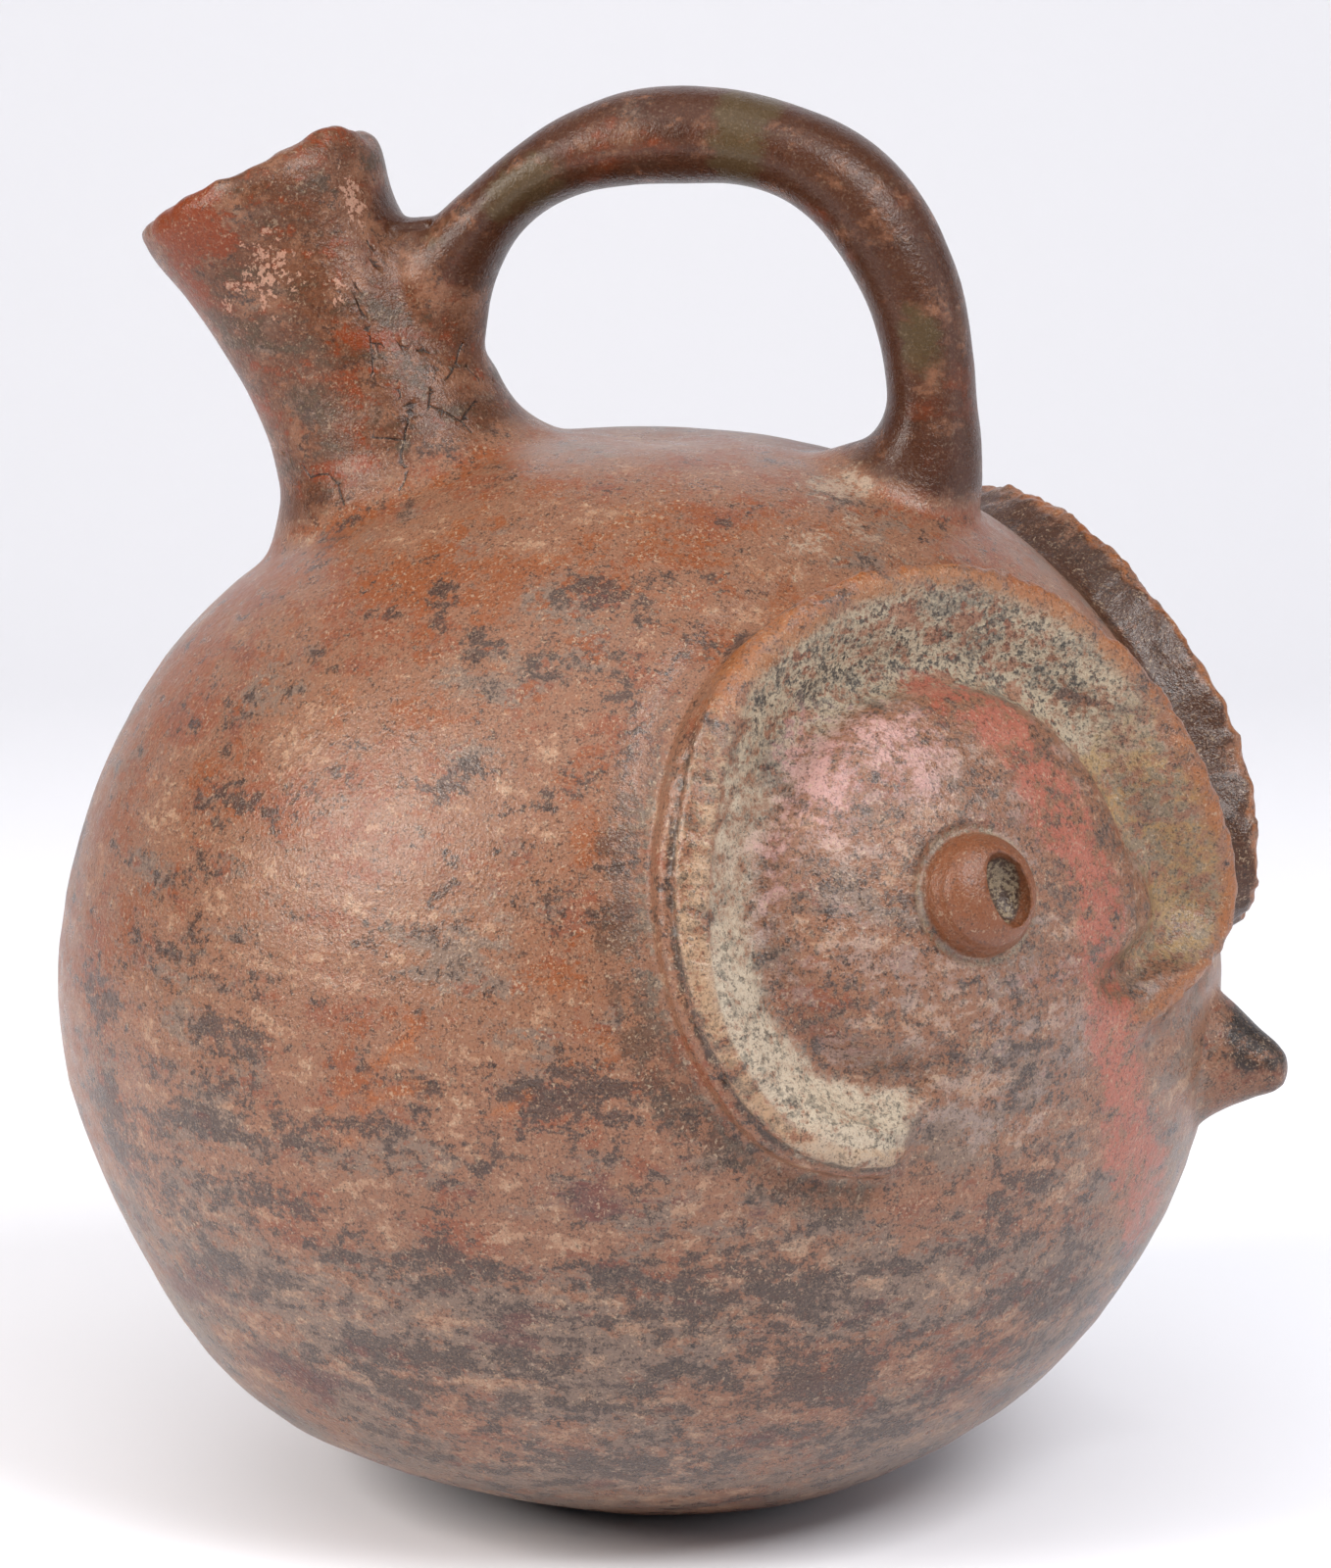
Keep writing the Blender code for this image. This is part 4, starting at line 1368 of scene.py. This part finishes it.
# Each coat of colour: the mask it keeps within, sRGB colour, how much each mottling and
# each mask counts toward it, where it starts and is full, and its greatest strength
COATS = [
    (None, "#6c5c51", GREYED, 0.15, 0.95, 0.8),
    (None, "#74391f", FIRED, 0.25, 0.95, 0.75),
    (None, "#9d7b62", BUFFED, 0.4, 1.1, 0.7),
    (None, "#79401e", {"cloud": 0.5, "blotch": 0.4, "fleck": 0.35, "ember": 1.4}, 0.85, 1.5, 0.8),
    (None, "#382b27", SMOKED, 0.6, 1.3, 0.8),
    (None, "#532b28", REDDENED, 1.0, 1.7, 0.7),
    (None, "#2d2422", BLACKENED, 1.0, 1.6, 0.7),
    (None, "#a5856b", {"fleck": 0.75, "grit": 0.5, "streak": -0.3, "ember": 0.3}, 1.05, 1.6, 0.65),
    ("disc", "#93817a", {"cloud": 0.6, "blotch": 0.4, "fleck": 0.45}, 0.9, 1.8, 0.45),
    ("disc", "#463a35", {"blotch": -0.4, "fleck": 0.6, "grit": 0.5, "cloud": -0.4}, 1.0, 1.8, 0.7),
    ("spout", "#4c2712", {"cloud": 0.3, "blotch": 0.3, "fleck": 0.2}, 0.2, 1.2, 0.85),
    ("spout", "#3d2d1c", {"streak": 0.6, "blotch": 0.4, "fleck": 0.4}, 1.2, 1.9, 0.75),
    ("spout", "#702c08", {"streak": -0.4, "blotch": 0.4, "fleck": 0.35, "ember": 1.2}, 1.2, 1.9, 0.85),
    ("spout", "#4b3b2f", {"streak": 0.4, "blotch": 0.4, "fleck": 0.4, "smoke": 1.2}, 1.4, 2.2, 0.75),
    ("handle", "#381c0f", {"cloud": 0.3, "blotch": 0.2, "fleck": 0.1}, 0.2, 1.0, 0.92),
    ("russet", "#6b3014", {"cloud": 0.4, "blotch": 0.3, "fleck": 0.15}, 0.4, 1.3, 0.85),
    ("olive", "#473924", {"blotch": 0.25}, 0.35, 0.75, 0.85),
    # Flaked slip, and painted sheen near the lip
    ("flaked_and_painted_sheen", "#a67d69", {"blotch": 0.35, "fleck": 0.75, "grit": 0.5}, 0.95, 1.35, 0.85),
    ("crust", "#a3967f", {"blotch": 0.4, "fleck": 0.45, "cloud": 0.3}, 0.15, 1.0, 0.85),
    ("crust", "#605950", {"streak": 0.4, "blotch": 0.5, "fleck": 0.5, "grit": 0.4}, 0.7, 1.5, 0.75),
    ("crust", "#322f2c", {"blotch": 0.4, "fleck": 0.6, "grit": 0.6}, 1.1, 1.8, 0.85),
    ("crust", "#84492f", {"cloud": 0.6, "blotch": -0.5, "fleck": 0.4}, 1.2, 1.8, 0.65),
    ("ochre", "#957648", {"streak": 0.4, "blotch": 0.45, "fleck": 0.4}, 0.5, 1.5, 0.78),
    ("ochre", "#655b4d", {"streak": -0.4, "blotch": 0.4, "fleck": 0.5, "grit": 0.3}, 0.8, 1.6, 0.75),
    ("cream", "#b3a590", {"blotch": 0.35, "fleck": 0.35, "grit": 0.2, "cloud": 0.15}, 0.05, 0.95, 0.82),
    ("cream", "#5f594e", {"blotch": -0.3, "fleck": 0.5, "grit": 0.6}, 0.9, 1.6, 0.6),
    # Pink slip with painted sheen on the mounds
    ("pink_and_painted_sheen", "#b28781", {"cloud": 0.35, "blotch": 0.4, "fleck": 0.4}, 0.35, 1.3, 0.75),
    ("paint", "#96503e", {"cloud": 0.4, "blotch": 0.5, "fleck": 0.5}, 0.4, 1.2, 0.82),
    ("brow_top", "#884f24", {"cloud": 0.4, "blotch": 0.4, "fleck": 0.4}, 0.3, 1.2, 0.8),
    ("ring", "#a08468", {"cloud": 0.3, "blotch": 0.4, "fleck": 0.5, "grit": 0.3}, 0.3, 1.2, 0.78),
    ("ring", "#4a3d34", {"cloud": -0.4, "blotch": -0.3, "fleck": 0.6, "grit": 0.5}, 1.1, 1.9, 0.55),
    ("seam", "#372c25", {"blotch": 0.3, "fleck": 0.4}, 0.3, 1.0, 0.85),
    ("pellet", "#6f3f24", {"blotch": 0.2, "fleck": 0.15}, 0.3, 0.8, 0.95),
    ("eye_dust", "#8d7d68", {"fleck": 0.4, "grit": 0.4}, 0.3, 1.2, 0.8),
    ("scratch", "#904d20", {"grit": 0.4}, 0.3, 1.0, 0.7),
    ("dust", "#9c8b79", {"cloud": 0.35, "blotch": 0.45, "fleck": 0.5, "grit": 0.3}, 0.5, 1.4, 0.75),
    # Dirt and painted shade at the ring's foot, painted shadow past its end
    ("dirt_and_painted_shade", "#3f3128", {"cloud": 0.4, "blotch": 0.4, "fleck": 0.5}, 0.45, 1.3, 0.68),
    # Painted shade in the pupil's hollow, with pale sand flecked over it
    ("pupil", "#3c2f27", {"blotch": 0.2}, 0.2, 0.8, 0.9),
    ("pupil", "#918067", {"fleck": 0.6, "grit": 0.6}, 0.6, 1.4, 0.8),
    # Painted shade in the far brow's channel
    ("painted_shade", "#3a1f10", {"cloud": 0.3, "blotch": 0.3, "fleck": 0.2}, 0.15, 0.8, 0.93),
    ("soot", "#1f1d1c", {"cloud": 0.3, "blotch": 0.3, "fleck": 0.2}, 0.1, 0.7, 0.92),
    ("inside", "#523427", {}, 0.3, 0.7, 1.0),
    ("crack", "#2a201c", {"grit": 0.1}, 0.15, 0.65, 0.9),
]
ware = add("ShaderNodeRGB").outputs[0]
ware.default_value = linear(BARE_WARE)
for within, colour, weights, start, full, most in COATS:
    total = all_weighed(weights, 1.0 if within else 0.0)
    if within:
        total = times(total, masks[within])
    ware = coated(ware, eased(total, start, full, most), colour)

# Grit: fine pale and dark grains in the slip, too fine to tell apart, drawn a
# little coarser than the real quarter millimetre so that they show
GRAINS = [
    ({"grain": 0.7, "grit": 0.5}, "#8e745e", 0.2, 1.2, 0.45),
    ({"grain": -0.7, "grit": 0.5}, "#2b201b", 0.1, 1.1, 0.55),
    ({"pale_grit": 0.9, "blotch": 0.5}, "#a8927a", 1.0, 1.6, 0.5),
    ({"pale_grit": -0.9, "blotch": -0.5}, "#1c1616", 0.9, 1.4, 0.6),
]
calm = all_weighed(CALMER, 1.0)
for weights, colour, start, full, most in GRAINS:
    amount = times(eased(all_weighed(weights, 0.0), start, full, most), calm, use_clamp=True)
    ware = coated(ware, amount, colour)
tree.links.new(ware, shader.inputs["Base Color"])

# Sheen: burnished clay is a little glossy, crusted and dusty places are dull
tree.links.new(all_weighed(ROUGHER, ROUGH), shader.inputs["Roughness"])
tree.links.new(all_weighed(LESS_SHINE, SHINE), shader.inputs["Specular IOR Level"])
shader.inputs["IOR"].default_value = CLAY_IOR
relief = weighed(mottle["grit"], all_weighed(CRUST_TOOTH, 0.0), all_weighed(FINE_RELIEF, 0.0))
sockets = {"Strength": 1.0, "Distance": MM, "Height": relief}
tree.links.new(add("ShaderNodeBump", sockets).outputs[0], shader.inputs["Normal"])

jar.data.materials.clear()
jar.data.materials.append(slip)
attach(jar, "root")
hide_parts("owl_jar")

# Studio
# A roll of matt white paper is swept up behind the jar. Four soft boxes stand behind
# it to the left, above its front left, low toward its face and wide overhead, and a
# strip over the jar washes the paper behind it.
SWEEP_FRONT = -2.6
SWEEP_BACK = 0.75
SWEEP_RADIUS = 0.7
SWEEP_TOP = 2.6
SWEEP_HALF_WIDTH = 3.0
SWEEP_STEPS = 24
WASH_SIZE = (2.4, 0.5)
WASH_WATTS = 1.5
WASH_BEHIND = 0.35
WASH_HEIGHT = 1.1
WASH_TILT = 0.35
PAPER = "#f3f3f8"
PAPER_ROUGH = 0.9
ROOM = "#f6f7fc"
ROOM_STRENGTH = 0.11

away = Vector((-camera_back.x, -camera_back.y, 0)).normalized()
profile = [(SWEEP_FRONT, 0.0), (SWEEP_BACK, 0.0)]
for i in range(1, SWEEP_STEPS + 1):
    angle = i / SWEEP_STEPS * math.pi / 2
    far = SWEEP_BACK + SWEEP_RADIUS * math.sin(angle)
    profile.append((far, SWEEP_RADIUS * (1 - math.cos(angle))))
profile.append((profile[-1][0], SWEEP_TOP))
paper = bmesh.new()
rows = []
for far, up in profile:
    centre = away * far + Vector((0, 0, up))
    rows.append([paper.verts.new(centre + camera_right * SWEEP_HALF_WIDTH * side) for side in (-1, 1)])
for near, far in zip(rows, rows[1:]):
    paper.faces.new((near[0], near[1], far[1], far[0])).smooth = True
sweep_mesh = bpy.data.meshes.new("paper_sweep")
paper.to_mesh(sweep_mesh)
paper.free()
sweep = new_object("paper_sweep", sweep_mesh)
white = bpy.data.materials.new("matt_white_paper")
white.use_nodes = True
paper_shader = white.node_tree.nodes["Principled BSDF"]
paper_shader.inputs["Base Color"].default_value = linear(PAPER)
paper_shader.inputs["Roughness"].default_value = PAPER_ROUGH
sweep_mesh.materials.append(white)

# Direction toward each light, distance, width, height, watts, colour
SOFT_BOXES = [
    ((-0.588, 0.665, 0.463), 1.1, 0.5, 0.5, 11.5, "#fffaf4"),
    ((-0.45, -0.56, 0.69), 1.2, 0.5, 0.5, 12.8, "#ffffff"),
    ((0.1, -0.95, 0.28), 1.3, 0.8, 0.9, 3.9, "#f6f8ff"),
    ((-0.35, 0.1, 0.93), 1.6, 1.8, 1.8, 14.5, "#ffffff"),
]


def area_light(name, wide, high, watts, location, backward):
    """Hangs a rectangular light with its back toward the given direction."""
    light = bpy.data.lights.new(name, "AREA")
    light.shape = "RECTANGLE"
    light.size = wide
    light.size_y = high
    light.energy = watts
    holder = bpy.data.objects.new(name, light)
    bpy.context.scene.collection.objects.link(holder)
    holder.location = location
    holder.rotation_mode = "QUATERNION"
    holder.rotation_quaternion = backward.to_track_quat("Z", "Y")
    return light


for i, (toward, distance, wide, high, watts, colour) in enumerate(SOFT_BOXES):
    toward = Vector(toward).normalized()
    stand = CAMERA_TARGET + toward * distance
    light = area_light(f"soft_box_{i}", wide, high, watts, stand, toward)
    light.color = linear(colour)[:3]
wash_place = away * WASH_BEHIND + Vector((0, 0, WASH_HEIGHT))
wash_wide, wash_high = WASH_SIZE
wash_backward = Vector((0, 0, WASH_TILT)) - away
area_light("paper_wash", wash_wide, wash_high, WASH_WATTS, wash_place, wash_backward)
room = bpy.data.worlds.new("pale_room")
room.use_nodes = True
room.node_tree.nodes["Background"].inputs["Color"].default_value = linear(ROOM)
room.node_tree.nodes["Background"].inputs["Strength"].default_value = ROOM_STRENGTH
bpy.context.scene.world = room
bpy.context.scene.view_settings.view_transform = "Standard"
